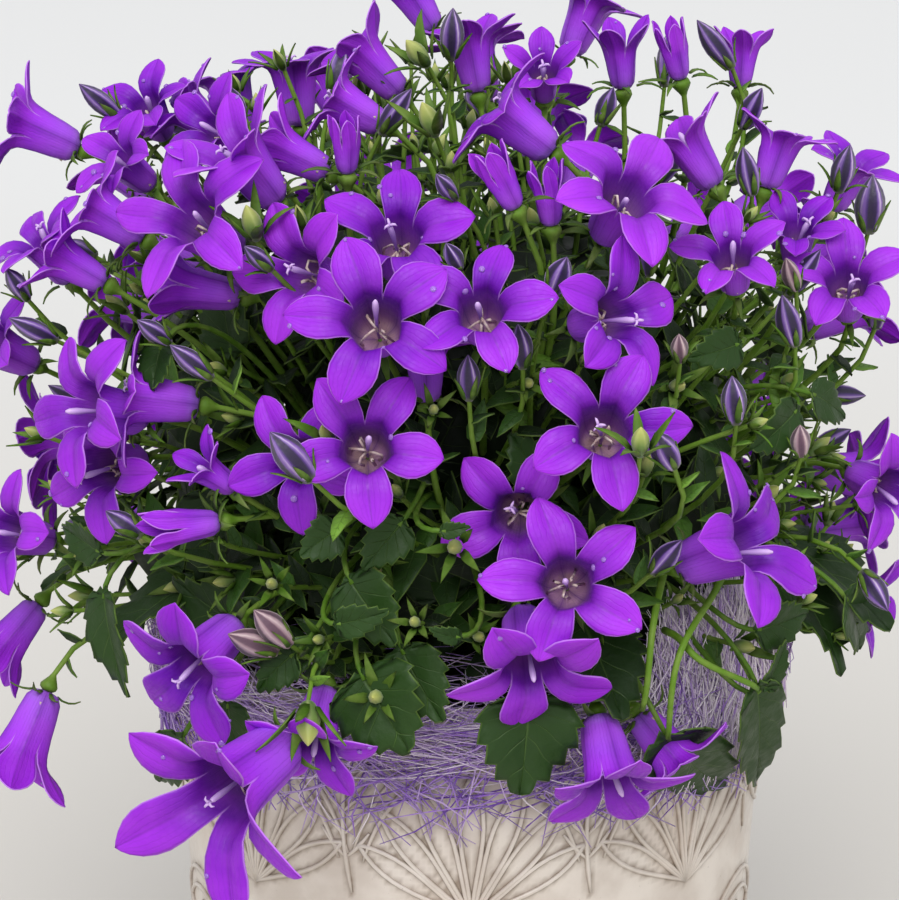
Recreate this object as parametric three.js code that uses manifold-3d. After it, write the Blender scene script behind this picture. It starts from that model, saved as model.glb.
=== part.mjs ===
// A bellflower in bloom, standing in a round ceramic cover pot.
// Millimetres, +Z up. The origin is the centre of the pot's flat underside,
// -Y is the side that faces the viewer and +X is that viewer's right.

import * as THREE from "three";
import Module from "manifold-3d";

const wasm = await Module();
wasm.setup();

const TAU = 2 * Math.PI;
const LOBES = 5;
const FIT_GAP = 0.3;

// Cover pot: a slightly tapered ceramic cup made for a 12 cm nursery pot.
const POT_HEIGHT = 128;
const POT_TOP_RADIUS = 69.5;
const POT_BOTTOM_RADIUS = 62.5;
const POT_WALL = 5;
const POT_FLOOR = 6;
const POT_FOOT_ROUND = 4;
const POT_RIM_ROUND = 2.2;
const POT_SEGMENTS = 40;

// Nursery pot: the thin plastic pot that holds the root ball.
const NURSERY_HEIGHT = 106;
const NURSERY_TOP_RADIUS = 58.5;
const NURSERY_BOTTOM_RADIUS = 43;
const NURSERY_WALL = 1.2;
const NURSERY_LIP = 2;
const NURSERY_SEGMENTS = 24;

// Soil: a root ball with one plain hole for the crown of the plant.
const SOIL_DROP = 7;
const CROWN_RADIUS = 17;
const CROWN_DEPTH = 22;

// Sisal: a collar of loose fibres over the rim, with a ragged hem outside.
const SISAL_SEGMENTS = 48;
const SISAL_STRAND = 1.1;
const SISAL_INNER_RADIUS = 52;
const SISAL_CREST = 139;
const SISAL_HEM = 101;
const SISAL_HEM_RAG = 9;

// Bush: bloom mouths lie on a rounded dome, and a smaller core fills its middle.
const DOME_CENTRE = new THREE.Vector3(-4, 0, 158);
const DOME_REACH = 103;
const DOME_RISE = 104;
const DOME_DROP = 76;
const DOME_POWER = 2.9;
const CORE_SCALE = 0.62;
const CORE_LOWEST_ROOT = 155;
const CORE_SIDES = 14;
const CORE_ROWS = 6;

// Bloom, in shares of its span from tip to tip.
const TUBE_LENGTH = 0.4;
const TUBE_BASE = 0.1;
const THROAT_RADIUS = 0.16;
const THROAT_FLOOR = 0.06;
const LOBE_LENGTH = 0.4;
const LOBE_WIDTH = 0.33;
const LOBE_THICKNESS = 1;
const STYLE_REACH = 0.1;

// Green parts.
const PEDICEL_RADIUS = 0.9;
const SEPAL_REACH = 5.2;
const CALYX_RADIUS = 2.3;
const CALYX_LENGTH = 3.6;
const LEAF_THICKNESS = 0.9;
const PETIOLE_RADIUS = 0.9;

// The viewpoint that the picture readings below were taken from. A reading is a column
// and a row, in pixels, and the thing read lies on that pixel's sight line.
const EYE = new THREE.Vector3(-4.7, -620, 337);
const EYE_PITCH = THREE.MathUtils.degToRad(15.4);
const FOCAL_PIXELS = 2790;
const PICTURE_MIDDLE = [449.5, 450];

// Blooms seen from the front: readings of the middle of the mouth, of the calyx end and
// of one petal tip, the span in mm, how far the petals are open (0 to 1), and how many mm
// the mouth lies behind the dome.
const SEEN_BLOOMS = [
  { name: "a01", mouth: [30, 128], base: [84, 151], tip: [45, 74], span: 29, open: 0.75, sink: 0 },
  { name: "a03", mouth: [147, 107], base: [165, 136], tip: [118, 101], span: 23, open: 0.8, sink: 20 },
  { name: "a04", mouth: [190, 112], base: [225, 138], tip: [198, 74], span: 24, open: 0.75, sink: 30 },
  { name: "a05", mouth: [214, 130], base: [246, 150], tip: [195, 108], span: 25, open: 0.8, sink: 24 },
  { name: "a07", mouth: [240, 157], base: [276, 201], tip: [247, 112], span: 31, open: 0.75, sink: 0 },
  { name: "a08", mouth: [195, 221], base: [234, 250], tip: [187, 128], span: 34, open: 1, sink: 0 },
  { name: "a09", mouth: [100, 212], base: [146, 240], tip: [61, 190], span: 26, open: 0.85, sink: 4 },
  { name: "a10", mouth: [42, 245], base: [70, 279], tip: [30, 202], span: 25, open: 0.85, sink: 6 },
  { name: "a11", mouth: [122, 162], base: [150, 185], tip: [146, 121], span: 23, open: 0.8, sink: 14 },
  { name: "a12", mouth: [192, 288], base: [240, 296], tip: [145, 298], span: 25, open: 0.4, sink: 20 },
  { name: "a13", mouth: [302, 272], base: [338, 282], tip: [284, 207], span: 30, open: 0.95, sink: 12 },
  { name: "a14", mouth: [396, 238], base: [400, 272], tip: [413, 155], span: 31, open: 1, sink: 10 },
  { name: "a15", mouth: [374, 322], base: [380, 340], tip: [344, 230], span: 34, open: 1, sink: -4 },
  { name: "a16", mouth: [288, 152], base: [328, 172], tip: [271, 114], span: 23, open: 0.5, sink: 18 },
  { name: "a17", mouth: [342, 102], base: [387, 128], tip: [330, 72], span: 24, open: 0.9, sink: 16 },
  { name: "a18", mouth: [367, 60], base: [404, 98], tip: [371, 19], span: 26, open: 0.6, sink: 30 },
  { name: "a19", mouth: [410, -8], base: [434, 30], tip: [400, -40], span: 26, open: 0.6, sink: 26 },
  { name: "a21", mouth: [-4, 345], base: [34, 364], tip: [20, 320], span: 28, open: 0.8, sink: 0 },
  { name: "a22", mouth: [90, 407], base: [144, 416], tip: [72, 334], span: 33, open: 1, sink: 0 },
  { name: "a23", mouth: [142, 398], base: [199, 405], tip: [98, 350], span: 29, open: 1, sink: 12 },
  { name: "a24", mouth: [68, 262], base: [106, 284], tip: [72, 242], span: 22, open: 0.6, sink: 4 },
  { name: "a25", mouth: [300, 460], base: [318, 456], tip: [241, 480], span: 29, open: 1, sink: 14 },
  { name: "a26", mouth: [366, 447], base: [368, 458], tip: [310, 378], span: 31, open: 1, sink: 0 },
  { name: "a27", mouth: [425, 358], base: [427, 404], tip: [459, 335], span: 22, open: 0.8, sink: 20 },
  { name: "b01", mouth: [587, 11], base: [568, 58], tip: [644, 32], span: 27, open: 0.8, sink: 22 },
  { name: "b02", mouth: [621, 52], base: [623, 88], tip: [600, 40], span: 20, open: 0.4, sink: 10 },
  { name: "b05", mouth: [742, 55], base: [740, 92], tip: [764, 32], span: 19, open: 0.4, sink: 24 },
  { name: "b08", mouth: [779, 146], base: [765, 189], tip: [828, 156], span: 23, open: 0.75, sink: 6 },
  { name: "b10", mouth: [850, 172], base: [832, 208], tip: [893, 166], span: 24, open: 0.8, sink: 12 },
  { name: "b12", mouth: [847, 284], base: [848, 314], tip: [845, 207], span: 27, open: 0.85, sink: 0 },
  { name: "b13", mouth: [797, 232], base: [795, 262], tip: [765, 198], span: 21, open: 0.8, sink: 14 },
  { name: "b14", mouth: [732, 258], base: [735, 288], tip: [684, 254], span: 24, open: 0.8, sink: 0 },
  { name: "b15", mouth: [627, 197], base: [604, 236], tip: [668, 128], span: 33, open: 1, sink: -4 },
  { name: "b16", mouth: [688, 146], base: [714, 186], tip: [680, 91], span: 25, open: 0.7, sink: 14 },
  { name: "b18", mouth: [507, 116], base: [554, 153], tip: [513, 67], span: 29, open: 0.9, sink: 0 },
  { name: "b19", mouth: [470, 48], base: [478, 92], tip: [497, 27], span: 24, open: 0.6, sink: 10 },
  { name: "b20", mouth: [543, 72], base: [544, 98], tip: [541, 44], span: 20, open: 0.6, sink: 22 },
  { name: "b23", mouth: [481, 311], base: [483, 334], tip: [548, 307], span: 28, open: 0.95, sink: -2 },
  { name: "b25", mouth: [614, 316], base: [576, 326], tip: [613, 255], span: 29, open: 0.95, sink: 0 },
  { name: "b26", mouth: [604, 430], base: [600, 445], tip: [638, 358], span: 32, open: 1, sink: -2 },
  { name: "c02", mouth: [11, 533], base: [50, 540], tip: [30, 472], span: 28, open: 0.9, sink: 0 },
  { name: "c03", mouth: [104, 468], base: [140, 460], tip: [160, 480], span: 30, open: 1, sink: 16 },
  { name: "c04", mouth: [208, 470], base: [233, 488], tip: [184, 460], span: 17, open: 0.5, sink: 8 },
  { name: "c07", mouth: [9, 640], base: [49, 592], tip: [-10, 650], span: 26, open: 0.4, sink: 4 },
  { name: "c08", mouth: [24, 745], base: [52, 680], tip: [62, 793], span: 32, open: 0.5, sink: 0 },
  { name: "c09", mouth: [194, 664], base: [235, 625], tip: [113, 604], span: 34, open: 0.95, sink: 0 },
  { name: "c10", mouth: [228, 790], base: [287, 742], tip: [107, 857], span: 47, open: 0.9, sink: -25 },
  { name: "c11", mouth: [314, 738], base: [326, 690], tip: [376, 786], span: 28, open: 0.9, sink: 4 },
  { name: "d01", mouth: [516, 516], base: [520, 508], tip: [552, 458], span: 30, open: 1, sink: 16 },
  { name: "d02", mouth: [567, 583], base: [567, 589], tip: [541, 495], span: 33, open: 1, sink: -2 },
  { name: "d03", mouth: [531, 665], base: [522, 612], tip: [449, 680], span: 34, open: 0.95, sink: 0 },
  { name: "d04", mouth: [610, 776], base: [598, 717], tip: [673, 826], span: 32, open: 0.85, sink: 0 },
  { name: "d05", mouth: [672, 755], base: [638, 714], tip: [711, 802], span: 27, open: 0.9, sink: 16 },
  { name: "d06", mouth: [742, 545], base: [681, 566], tip: [705, 454], span: 37, open: 0.95, sink: 0 },
  { name: "d07", mouth: [886, 488], base: [852, 473], tip: [880, 440], span: 28, open: 0.8, sink: 6 },
];

// Blooms on the sides and back, spread by the golden angle over the rest of the dome.
const SPREAD_SPRAYS = 160;
const SPRAY_CLEARANCE = 36;
const SPRAY_PITCH = 0.54;
const SPREAD_SPAN = [28, 33];
const HIDDEN_FROM_EYE = 0.12;

// Buds: readings of the tip and the base, the thickness in mm and the sink as above. The
// base lies BUD_LEAN mm further back than the tip.
const BUD_LEAN = 4;
const SEEN_BUDS = [
  { tip: [79, 84], base: [120, 118], width: 4.4, sink: 10 },
  { tip: [227, 85], base: [240, 125], width: 4.6, sink: 24 },
  { tip: [344, 115], base: [347, 172], width: 5, sink: 10 },
  { tip: [453, 8], base: [451, 60], width: 5, sink: 8 },
  { tip: [667, 22], base: [680, 78], width: 6.4, sink: 10 },
  { tip: [406, 40], base: [428, 66], width: 4, sink: 8 },
  { tip: [422, 102], base: [436, 136], width: 4, sink: 8 },
  { tip: [436, 174], base: [456, 199], width: 3.4, sink: 2 },
  { tip: [446, 243], base: [460, 270], width: 3.6, sink: 2 },
  { tip: [697, 20], base: [732, 68], width: 5, sink: 10 },
  { tip: [762, 88], base: [742, 128], width: 4.6, sink: 10 },
  { tip: [743, 147], base: [752, 195], width: 4.6, sink: 0 },
  { tip: [850, 145], base: [838, 192], width: 5, sink: 0 },
  { tip: [873, 175], base: [868, 233], width: 6.5, sink: 4 },
  { tip: [484, 150], base: [515, 207], width: 6, sink: 0 },
  { tip: [544, 163], base: [551, 224], width: 6, sink: 4 },
  { tip: [567, 257], base: [552, 293], width: 5, sink: 2 },
  { tip: [518, 324], base: [523, 368], width: 4.6, sink: 6 },
  { tip: [468, 355], base: [469, 400], width: 4.4, sink: 4 },
  { tip: [646, 240], base: [648, 276], width: 3.6, sink: 8 },
  { tip: [679, 334], base: [680, 362], width: 3.4, sink: 0 },
  { tip: [732, 376], base: [736, 424], width: 5, sink: 0 },
  { tip: [786, 258], base: [796, 290], width: 3.8, sink: 4 },
  { tip: [782, 295], base: [795, 346], width: 5, sink: 2 },
  { tip: [800, 425], base: [801, 456], width: 4, sink: 0 },
  { tip: [880, 298], base: [875, 328], width: 4.2, sink: 0 },
  { tip: [143, 532], base: [218, 522], width: 7, sink: 6 },
  { tip: [228, 634], base: [277, 652], width: 5.4, sink: 4 },
  { tip: [254, 610], base: [290, 645], width: 5.4, sink: 2 },
  { tip: [888, 611], base: [862, 571], width: 5, sink: 2 },
  { tip: [682, 540], base: [652, 573], width: 4.6, sink: 2 },
  { tip: [655, 432], base: [676, 468], width: 5, sink: 4 },
  { tip: [641, 427], base: [638, 458], width: 3.4, sink: 2 },
  { tip: [268, 432], base: [314, 482], width: 5.4, sink: 0 },
  { tip: [244, 246], base: [272, 270], width: 3.6, sink: 4 },
  { tip: [170, 345], base: [212, 378], width: 4.2, sink: 2 },
  { tip: [137, 320], base: [170, 343], width: 3.8, sink: 2 },
  { tip: [6, 268], base: [28, 300], width: 4, sink: 2 },
  { tip: [9, 318], base: [57, 341], width: 4.2, sink: 0 },
  { tip: [246, 205], base: [257, 240], width: 4, sink: 4 },
  { tip: [308, 746], base: [308, 702], width: 5, sink: -4 },
];

// Leaves seen from the front: readings of where the blade starts and ends, its width in
// mm, and the sink of its start and its end.
const SEEN_LEAVES = [
  { start: [362, 676], end: [408, 752], width: 21, sink: [8, 0] },
  { start: [402, 650], end: [438, 724], width: 14, sink: [10, 4] },
  { start: [530, 698], end: [522, 798], width: 21, sink: [8, 0] },
  { start: [350, 580], end: [392, 646], width: 14, sink: [10, 4] },
  { start: [337, 624], end: [388, 615], width: 7, sink: [3, 1] },
  { start: [402, 522], end: [364, 570], width: 10, sink: [12, 8] },
  { start: [338, 530], end: [298, 552], width: 9, sink: [10, 6] },
  { start: [104, 594], end: [112, 698], width: 14, sink: [14, 8] },
  { start: [100, 552], end: [58, 526], width: 9, sink: [14, 10] },
  { start: [757, 688], end: [766, 800], width: 11, sink: [10, 2] },
  { start: [764, 688], end: [793, 644], width: 7, sink: [10, 8] },
  { start: [668, 738], end: [722, 812], width: 17, sink: [8, 2] },
  { start: [757, 630], end: [813, 616], width: 11, sink: [14, 10] },
  { start: [846, 598], end: [874, 654], width: 13, sink: [12, 6] },
  { start: [796, 410], end: [758, 456], width: 11, sink: [10, 8] },
  { start: [812, 394], end: [852, 412], width: 9, sink: [10, 8] },
  { start: [738, 344], end: [694, 362], width: 9, sink: [10, 8] },
  { start: [162, 346], end: [148, 388], width: 10, sink: [12, 8] },
  { start: [182, 738], end: [150, 792], width: 12, sink: [16, 12] },
  { start: [228, 704], end: [234, 758], width: 10, sink: [14, 10] },
  { start: [294, 654], end: [252, 684], width: 9, sink: [10, 6] },
  { start: [542, 482], end: [510, 436], width: 11, sink: [22, 20] },
  { start: [441, 531], end: [470, 529], width: 3.6, sink: [2, 2] },
  { start: [460, 637], end: [429, 634], width: 3.8, sink: [4, 2] },
];

// Openings between the leaves, through which the sisal, the pot, the bush's dark middle and
// the background show: left, top, right and bottom readings.
const WINDOWS = [
  [690, 612, 778, 766], [310, 762, 470, 900], [450, 800, 700, 900], [420, 695, 470, 800],
  [0, 700, 150, 900], [30, 606, 82, 700], [795, 660, 899, 900], [880, 560, 899, 900],
  [70, 562, 140, 592], [800, 508, 870, 540], [450, 380, 520, 500],
];

// Leaves by rule: a spiral of leaves just under the blooms and a skirt round the rim.
const SPREAD_LEAVES = 520;
const SPREAD_LEAF_LIMIT = 40;
const SPREAD_LEAF_LENGTH = [22, 32];
const LEAF_LEVEL = 0.76;
const SKIRT_LEAVES = 24;
const SKIRT_LENGTH = [22, 32];
const SKIRT_HEIGHT = 151;
const SKIRT_RADIUS = 72;
const SKIRT_DROP = 9;

const GOLDEN_ANGLE = Math.PI * (3 - Math.sqrt(5));

// Seeded random numbers from 0 to 1.
function seededRandom(seed) {
  let state = seed >>> 0;
  return () => {
    state = (Math.imul(1664525, state) + 1013904223) >>> 0;
    return state / 2 ** 32;
  };
}

const between = (random, [low, high]) => low + (high - low) * random();

// Joins and cuts

function solidOf(points, faces) {
  const solid = new wasm.Manifold(new wasm.Mesh({
    numProp: 3,
    vertProperties: Float32Array.from(points.flatMap((p) => [p.x, p.y, p.z])),
    triVerts: Uint32Array.from(faces.flat()),
  }));
  if (solid.volume() > 0) return solid;
  return solidOf(points, faces.map(([a, b, c]) => [a, c, b]));
}

function largestBody(solid) {
  const bodies = solid.decompose();
  return bodies.reduce((best, body) => (body.volume() > best.volume() ? body : best));
}

function geometryOf(solid) {
  const mesh = solid.getMesh();
  const geometry = new THREE.BufferGeometry();
  geometry.setAttribute("position", new THREE.BufferAttribute(mesh.vertProperties, 3));
  geometry.setIndex(new THREE.BufferAttribute(mesh.triVerts, 1));
  geometry.computeVertexNormals();
  return geometry;
}

const crosses = (one, other) => one.intersect(other).volume() > 1e-4;

// A closed turned body from a profile of [radius, height] pairs that starts and ends on
// the axis, or that closes on itself.
function turned(profile, segments) {
  const points = profile.map(([radius, height]) => new THREE.Vector2(radius, height));
  const geometry = new THREE.LatheGeometry(points, segments);
  geometry.rotateX(Math.PI / 2);
  return geometry;
}

// Sight lines and the dome

function sightDirection([column, row]) {
  const right = (column - PICTURE_MIDDLE[0]) / FOCAL_PIXELS;
  const up = (PICTURE_MIDDLE[1] - row) / FOCAL_PIXELS;
  const cos = Math.cos(EYE_PITCH);
  const sin = Math.sin(EYE_PITCH);
  return new THREE.Vector3(right, cos + up * sin, up * cos - sin).normalize();
}

// Below 1 inside the dome and above 1 outside it.
function domeLevel(point, scale = 1) {
  const away = point.clone().sub(DOME_CENTRE).divideScalar(scale);
  const reach = Math.hypot(away.x, away.y) / DOME_REACH;
  const rise = away.z / (away.z > 0 ? DOME_RISE : DOME_DROP);
  return reach ** DOME_POWER + Math.abs(rise) ** DOME_POWER;
}

// The pixel that a point is seen at.
function readingOf(point) {
  const away = point.clone().sub(EYE);
  const cos = Math.cos(EYE_PITCH);
  const sin = Math.sin(EYE_PITCH);
  const depth = away.y * cos - away.z * sin;
  const rise = away.y * sin + away.z * cos;
  return [
    PICTURE_MIDDLE[0] + (FOCAL_PIXELS * away.x) / depth,
    PICTURE_MIDDLE[1] - (FOCAL_PIXELS * rise) / depth,
  ];
}

// How far along a sight line it meets the dome, or passes nearest to it.
function sightDistance(reading) {
  const direction = sightDirection(reading);
  const first = 470;
  const last = 700;
  const step = 0.5;
  let nearest = Infinity;
  let distance = first;
  for (let along = first; along < last; along += step) {
    const level = domeLevel(EYE.clone().addScaledVector(direction, along));
    if (level < nearest) {
      nearest = level;
      distance = along;
    }
    if (level <= 1) break;
  }
  return distance;
}

function sightPoint(reading, sink) {
  return EYE.clone().addScaledVector(sightDirection(reading), sightDistance(reading) + sink);
}

// The point of a sight line that lies the given length from a point, on its far side.
function sightPointAt(reading, from, length) {
  const direction = sightDirection(reading);
  const along = from.clone().sub(EYE).dot(direction);
  const foot = EYE.clone().addScaledVector(direction, along);
  const rest = length ** 2 - foot.distanceToSquared(from);
  const point = foot.addScaledVector(direction, Math.sqrt(Math.max(rest, 0)));
  return from.clone().add(point.sub(from).setLength(length));
}

// Where the dome's surface lies in a direction given by compass angle and height angle,
// and which way it faces there.
function domePoint(azimuth, elevation, scale = 1) {
  const direction = new THREE.Vector3(
    Math.cos(elevation) * Math.cos(azimuth),
    Math.cos(elevation) * Math.sin(azimuth),
    Math.sin(elevation),
  );
  const probe = DOME_CENTRE.clone().add(direction);
  const size = domeLevel(probe, scale) ** (-1 / DOME_POWER);
  return DOME_CENTRE.clone().addScaledVector(direction, size);
}

function domeFacing(point) {
  const step = 0.5;
  const slope = ["x", "y", "z"].map((axis) => {
    const ahead = point.clone();
    const behind = point.clone();
    ahead[axis] += step;
    behind[axis] -= step;
    return domeLevel(ahead) - domeLevel(behind);
  });
  return new THREE.Vector3(...slope).normalize();
}

// Axes of a frame whose z is the facing and whose x is nearest to a wanted direction.
function framed(origin, facing, toward) {
  const z = facing.clone().normalize();
  const x = toward.clone().addScaledVector(z, -toward.dot(z)).normalize();
  const y = z.clone().cross(x);
  return new THREE.Matrix4().makeBasis(x, y, z).setPosition(origin);
}

const polar = (radius, angle, height) =>
  new THREE.Vector3(radius * Math.cos(angle), radius * Math.sin(angle), height);

// Blooms

function placedBloom({ name, mouth, base, tip, span, open, sink }) {
  const middle = sightPoint(mouth, sink);
  const length = TUBE_LENGTH * span;
  const calyx = sightPointAt(base, middle, length);
  const facing = middle.clone().sub(calyx).normalize();
  const toTip = sightDirection(tip);
  const reach = middle.clone().sub(EYE).dot(facing) / toTip.dot(facing);
  const toward = EYE.clone().addScaledVector(toTip, reach).sub(middle);
  return { name, calyx, middle, facing, toward, span, open };
}

// Two blooms side by side at a time, whose petals cross, as on one spray.
function spreadBlooms(seen) {
  const random = seededRandom(11);
  const blooms = [...seen];
  for (let index = 0; index < SPREAD_SPRAYS; index += 1) {
    const height = 1 - (1.4 * (index + 0.5)) / SPREAD_SPRAYS;
    const span = between(random, SPREAD_SPAN);
    const depth = 1 - 0.08 * random();
    const turn = TAU * random();
    const first = domePoint(index * GOLDEN_ANGLE, Math.asin(height), depth);
    const outward = domeFacing(first);
    const aside = framed(first, outward, new THREE.Vector3(Math.cos(turn), Math.sin(turn), 1));
    const second = polar(SPRAY_PITCH * span, 0, -0.16 * span).applyMatrix4(aside);
    const spray = [first, second].map((middle, turnInSpray) => {
      const lean = new THREE.Vector3(random() - 0.5, random() - 0.5, random() - 0.4);
      const facing = domeFacing(middle).addScaledVector(lean, 0.5).normalize();
      const calyx = middle.clone().addScaledVector(facing, -TUBE_LENGTH * span);
      const toward = new THREE.Vector3(lean.y, lean.x, 1);
      const open = turnInSpray ? 0.8 : 0.95;
      return { calyx, middle, facing, toward, span, open };
    });
    const toEye = EYE.clone().sub(first).normalize();
    if (outward.dot(toEye) > HIDDEN_FROM_EYE) continue;
    const isNear = (one, other) => one.middle.distanceTo(other.middle) < SPRAY_CLEARANCE;
    if (spray.some((one) => blooms.some((other) => isNear(one, other)))) continue;
    for (const bloom of spray) {
      const number = blooms.length - seen.length + 1;
      blooms.push({ ...bloom, name: `r${String(number).padStart(2, "0")}` });
    }
  }
  return blooms;
}

// One corolla: a tube with five pointed petals whose midribs are creased, thin at the
// edges and LOBE_THICKNESS thick along the midrib, and the style standing in the throat.
function bloomSolid({ calyx, facing, toward, span, open }) {
  const points = [];
  const faces = [];
  const add = (point) => points.push(point) - 1;
  const mouthHeight = TUBE_LENGTH * span;
  const throat = THROAT_RADIUS * span;
  const spread = (Math.PI / 2) * open;
  const rootAngle = 0.8 * spread;
  const tipAngle = 1.06 * spread;
  const half = (LOBE_LENGTH * span) / 2;
  const middleRadius = throat + half * Math.sin(rootAngle);
  const middleHeight = mouthHeight + half * Math.cos(rootAngle);
  const tipRadius = middleRadius + half * Math.sin(tipAngle);
  const tipHeight = middleHeight + half * Math.cos(tipAngle);
  const room = 2 * middleRadius * Math.sin(Math.PI / LOBES) * 0.94;
  const halfWidth = Math.min(LOBE_WIDTH * span, room) / 2;
  const keel = 0.03 * span;
  const outX = Math.cos(rootAngle);
  const outZ = -Math.sin(rootAngle);

  const floor = [];
  const baseRing = [];
  const lobes = [];
  for (let lobe = 0; lobe < LOBES; lobe += 1) {
    const angle = (lobe * TAU) / LOBES;
    const sinusAngle = angle + Math.PI / LOBES;
    const side = new THREE.Vector3(-Math.sin(angle), Math.cos(angle), 0);
    const edge = polar(middleRadius - keel * outX, angle, middleHeight - keel * outZ);
    const thick = LOBE_THICKNESS;
    lobes.push({
      sinus: add(polar(throat, sinusAngle, mouthHeight)),
      root: add(polar(throat + thick * 0.9, angle, mouthHeight - 0.6 * thick)),
      left: add(edge.clone().addScaledVector(side, halfWidth)),
      right: add(edge.clone().addScaledVector(side, -halfWidth)),
      spineIn: add(polar(middleRadius, angle, middleHeight)),
      spineOut: add(polar(middleRadius + thick * outX, angle, middleHeight + thick * outZ)),
      tip: add(polar(tipRadius, angle, tipHeight)),
    });
    baseRing.push(add(polar(TUBE_BASE * span, sinusAngle, 0)));
    floor.push(add(polar(THROAT_FLOOR * span, sinusAngle, 0.35 * mouthHeight)));
  }
  const style = add(new THREE.Vector3(0, 0, mouthHeight + STYLE_REACH * span));
  lobes.forEach((lobe, index) => {
    const before = (index + LOBES - 1) % LOBES;
    const sinusRight = lobes[before].sinus;
    const { sinus, root, left, right, spineIn, spineOut, tip } = lobe;
    faces.push([sinus, sinusRight, spineIn], [sinusRight, right, spineIn], [sinus, spineIn, left]);
    faces.push([spineIn, right, tip], [left, spineIn, tip]);
    faces.push([sinusRight, root, right], [root, spineOut, right]);
    faces.push([root, sinus, spineOut], [sinus, left, spineOut]);
    faces.push([spineOut, tip, right], [spineOut, left, tip]);
    faces.push([floor[before], sinusRight, sinus], [floor[before], sinus, floor[index]]);
    faces.push([floor[before], floor[index], style]);
    faces.push([baseRing[before], root, sinusRight], [baseRing[index], sinus, root]);
    faces.push([baseRing[before], baseRing[index], root]);
  });
  for (let side = 1; side < LOBES - 1; side += 1) {
    faces.push([baseRing[0], baseRing[side + 1], baseRing[side]]);
  }
  const frame = framed(calyx, facing, toward);
  return solidOf(points.map((point) => point.applyMatrix4(frame)), faces);
}

// Green parts

function ringFaces(lower, upper) {
  const faces = [];
  lower.forEach((corner, index) => {
    const next = (index + 1) % lower.length;
    faces.push([corner, lower[next], upper[next]], [corner, upper[next], upper[index]]);
  });
  return faces;
}

// A stalk that starts sunk in the core and ends in a five-pointed calyx under a bloom.
function calyxSolid(root, calyx, facing, toward) {
  const points = [];
  const add = (point) => points.push(point) - 1;
  const frame = framed(calyx, facing, toward);
  const neck = new THREE.Vector3(0, 0, -CALYX_LENGTH - FIT_GAP);
  const start = root.clone().applyMatrix4(frame.clone().invert());
  const along = neck.clone().sub(start).normalize();
  const foot = framed(start, along, new THREE.Vector3(1, 0, 0));
  const lower = [];
  const upper = [];
  for (let corner = 0; corner < 3; corner += 1) {
    const angle = (corner * TAU) / 3;
    lower.push(add(polar(1.2 * PEDICEL_RADIUS, angle, 0).applyMatrix4(foot)));
    upper.push(add(polar(PEDICEL_RADIUS, angle, neck.z)));
  }
  const cup = [];
  const tips = [];
  for (let sepal = 0; sepal < LOBES; sepal += 1) {
    const angle = (sepal * TAU) / LOBES;
    cup.push(add(polar(CALYX_RADIUS, angle - Math.PI / LOBES, -FIT_GAP)));
    tips.push(add(polar(SEPAL_REACH, angle, -FIT_GAP - 0.6)));
  }
  const faces = ringFaces(lower, upper);
  faces.push([lower[0], lower[2], lower[1]]);
  for (let side = 1; side < LOBES - 1; side += 1) faces.push([cup[0], cup[side], cup[side + 1]]);
  const rim = cup.flatMap((corner, index) => [corner, tips[index]]);
  let at = 0;
  rim.forEach((corner, index) => {
    const next = rim[(index + 1) % rim.length];
    const wanted = Math.round(((index + 1) * 3) / rim.length);
    faces.push([corner, upper[at % 3], next]);
    if (wanted > at) {
      faces.push([upper[at % 3], upper[(at + 1) % 3], next]);
      at += 1;
    }
  });
  tips.forEach((tip, index) => faces.push([cup[index], tip, cup[(index + 1) % LOBES]]));
  return solidOf(points.map((point) => point.applyMatrix4(frame)), faces);
}

// A closed bud: a stalk that widens into a five-sided spindle.
function budSolid(root, base, tip, width) {
  const points = [];
  const add = (point) => points.push(point) - 1;
  const axis = tip.clone().sub(base);
  const length = axis.length();
  const frame = framed(base, axis, new THREE.Vector3(0.3, 0.2, 1));
  const start = root.clone().applyMatrix4(frame.clone().invert());
  const foot = framed(start, start.clone().negate().normalize(), new THREE.Vector3(1, 0, 0));
  const rings = [0, 1, 2].map(() => []);
  for (let side = 0; side < LOBES; side += 1) {
    const angle = (side * TAU) / LOBES;
    rings[0].push(add(polar(PEDICEL_RADIUS, angle, 0).applyMatrix4(foot)));
    rings[1].push(add(polar(0.3 * width, angle, 0)));
    rings[2].push(add(polar(0.5 * width, angle, 0.5 * length)));
  }
  const end = add(new THREE.Vector3(0, 0, length));
  const faces = [...ringFaces(rings[0], rings[1]), ...ringFaces(rings[1], rings[2])];
  for (let side = 0; side < LOBES; side += 1) {
    faces.push([rings[2][side], rings[2][(side + 1) % LOBES], end]);
  }
  for (let side = 1; side < LOBES - 1; side += 1) {
    faces.push([rings[0][0], rings[0][side + 1], rings[0][side]]);
  }
  return solidOf(points.map((point) => point.applyMatrix4(frame)), faces);
}

// Half outlines of a heart-shaped leaf with coarse teeth, from the stalk to the tip, in
// shares of the blade's width and length.
const LARGE_OUTLINE = [
  [0.34, -0.07], [0.5, 0.14], [0.42, 0.28], [0.47, 0.44], [0.34, 0.56], [0.32, 0.74],
];
const SMALL_OUTLINE = [[0.4, 0], [0.5, 0.26], [0.36, 0.44], [0.32, 0.68]];

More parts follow.
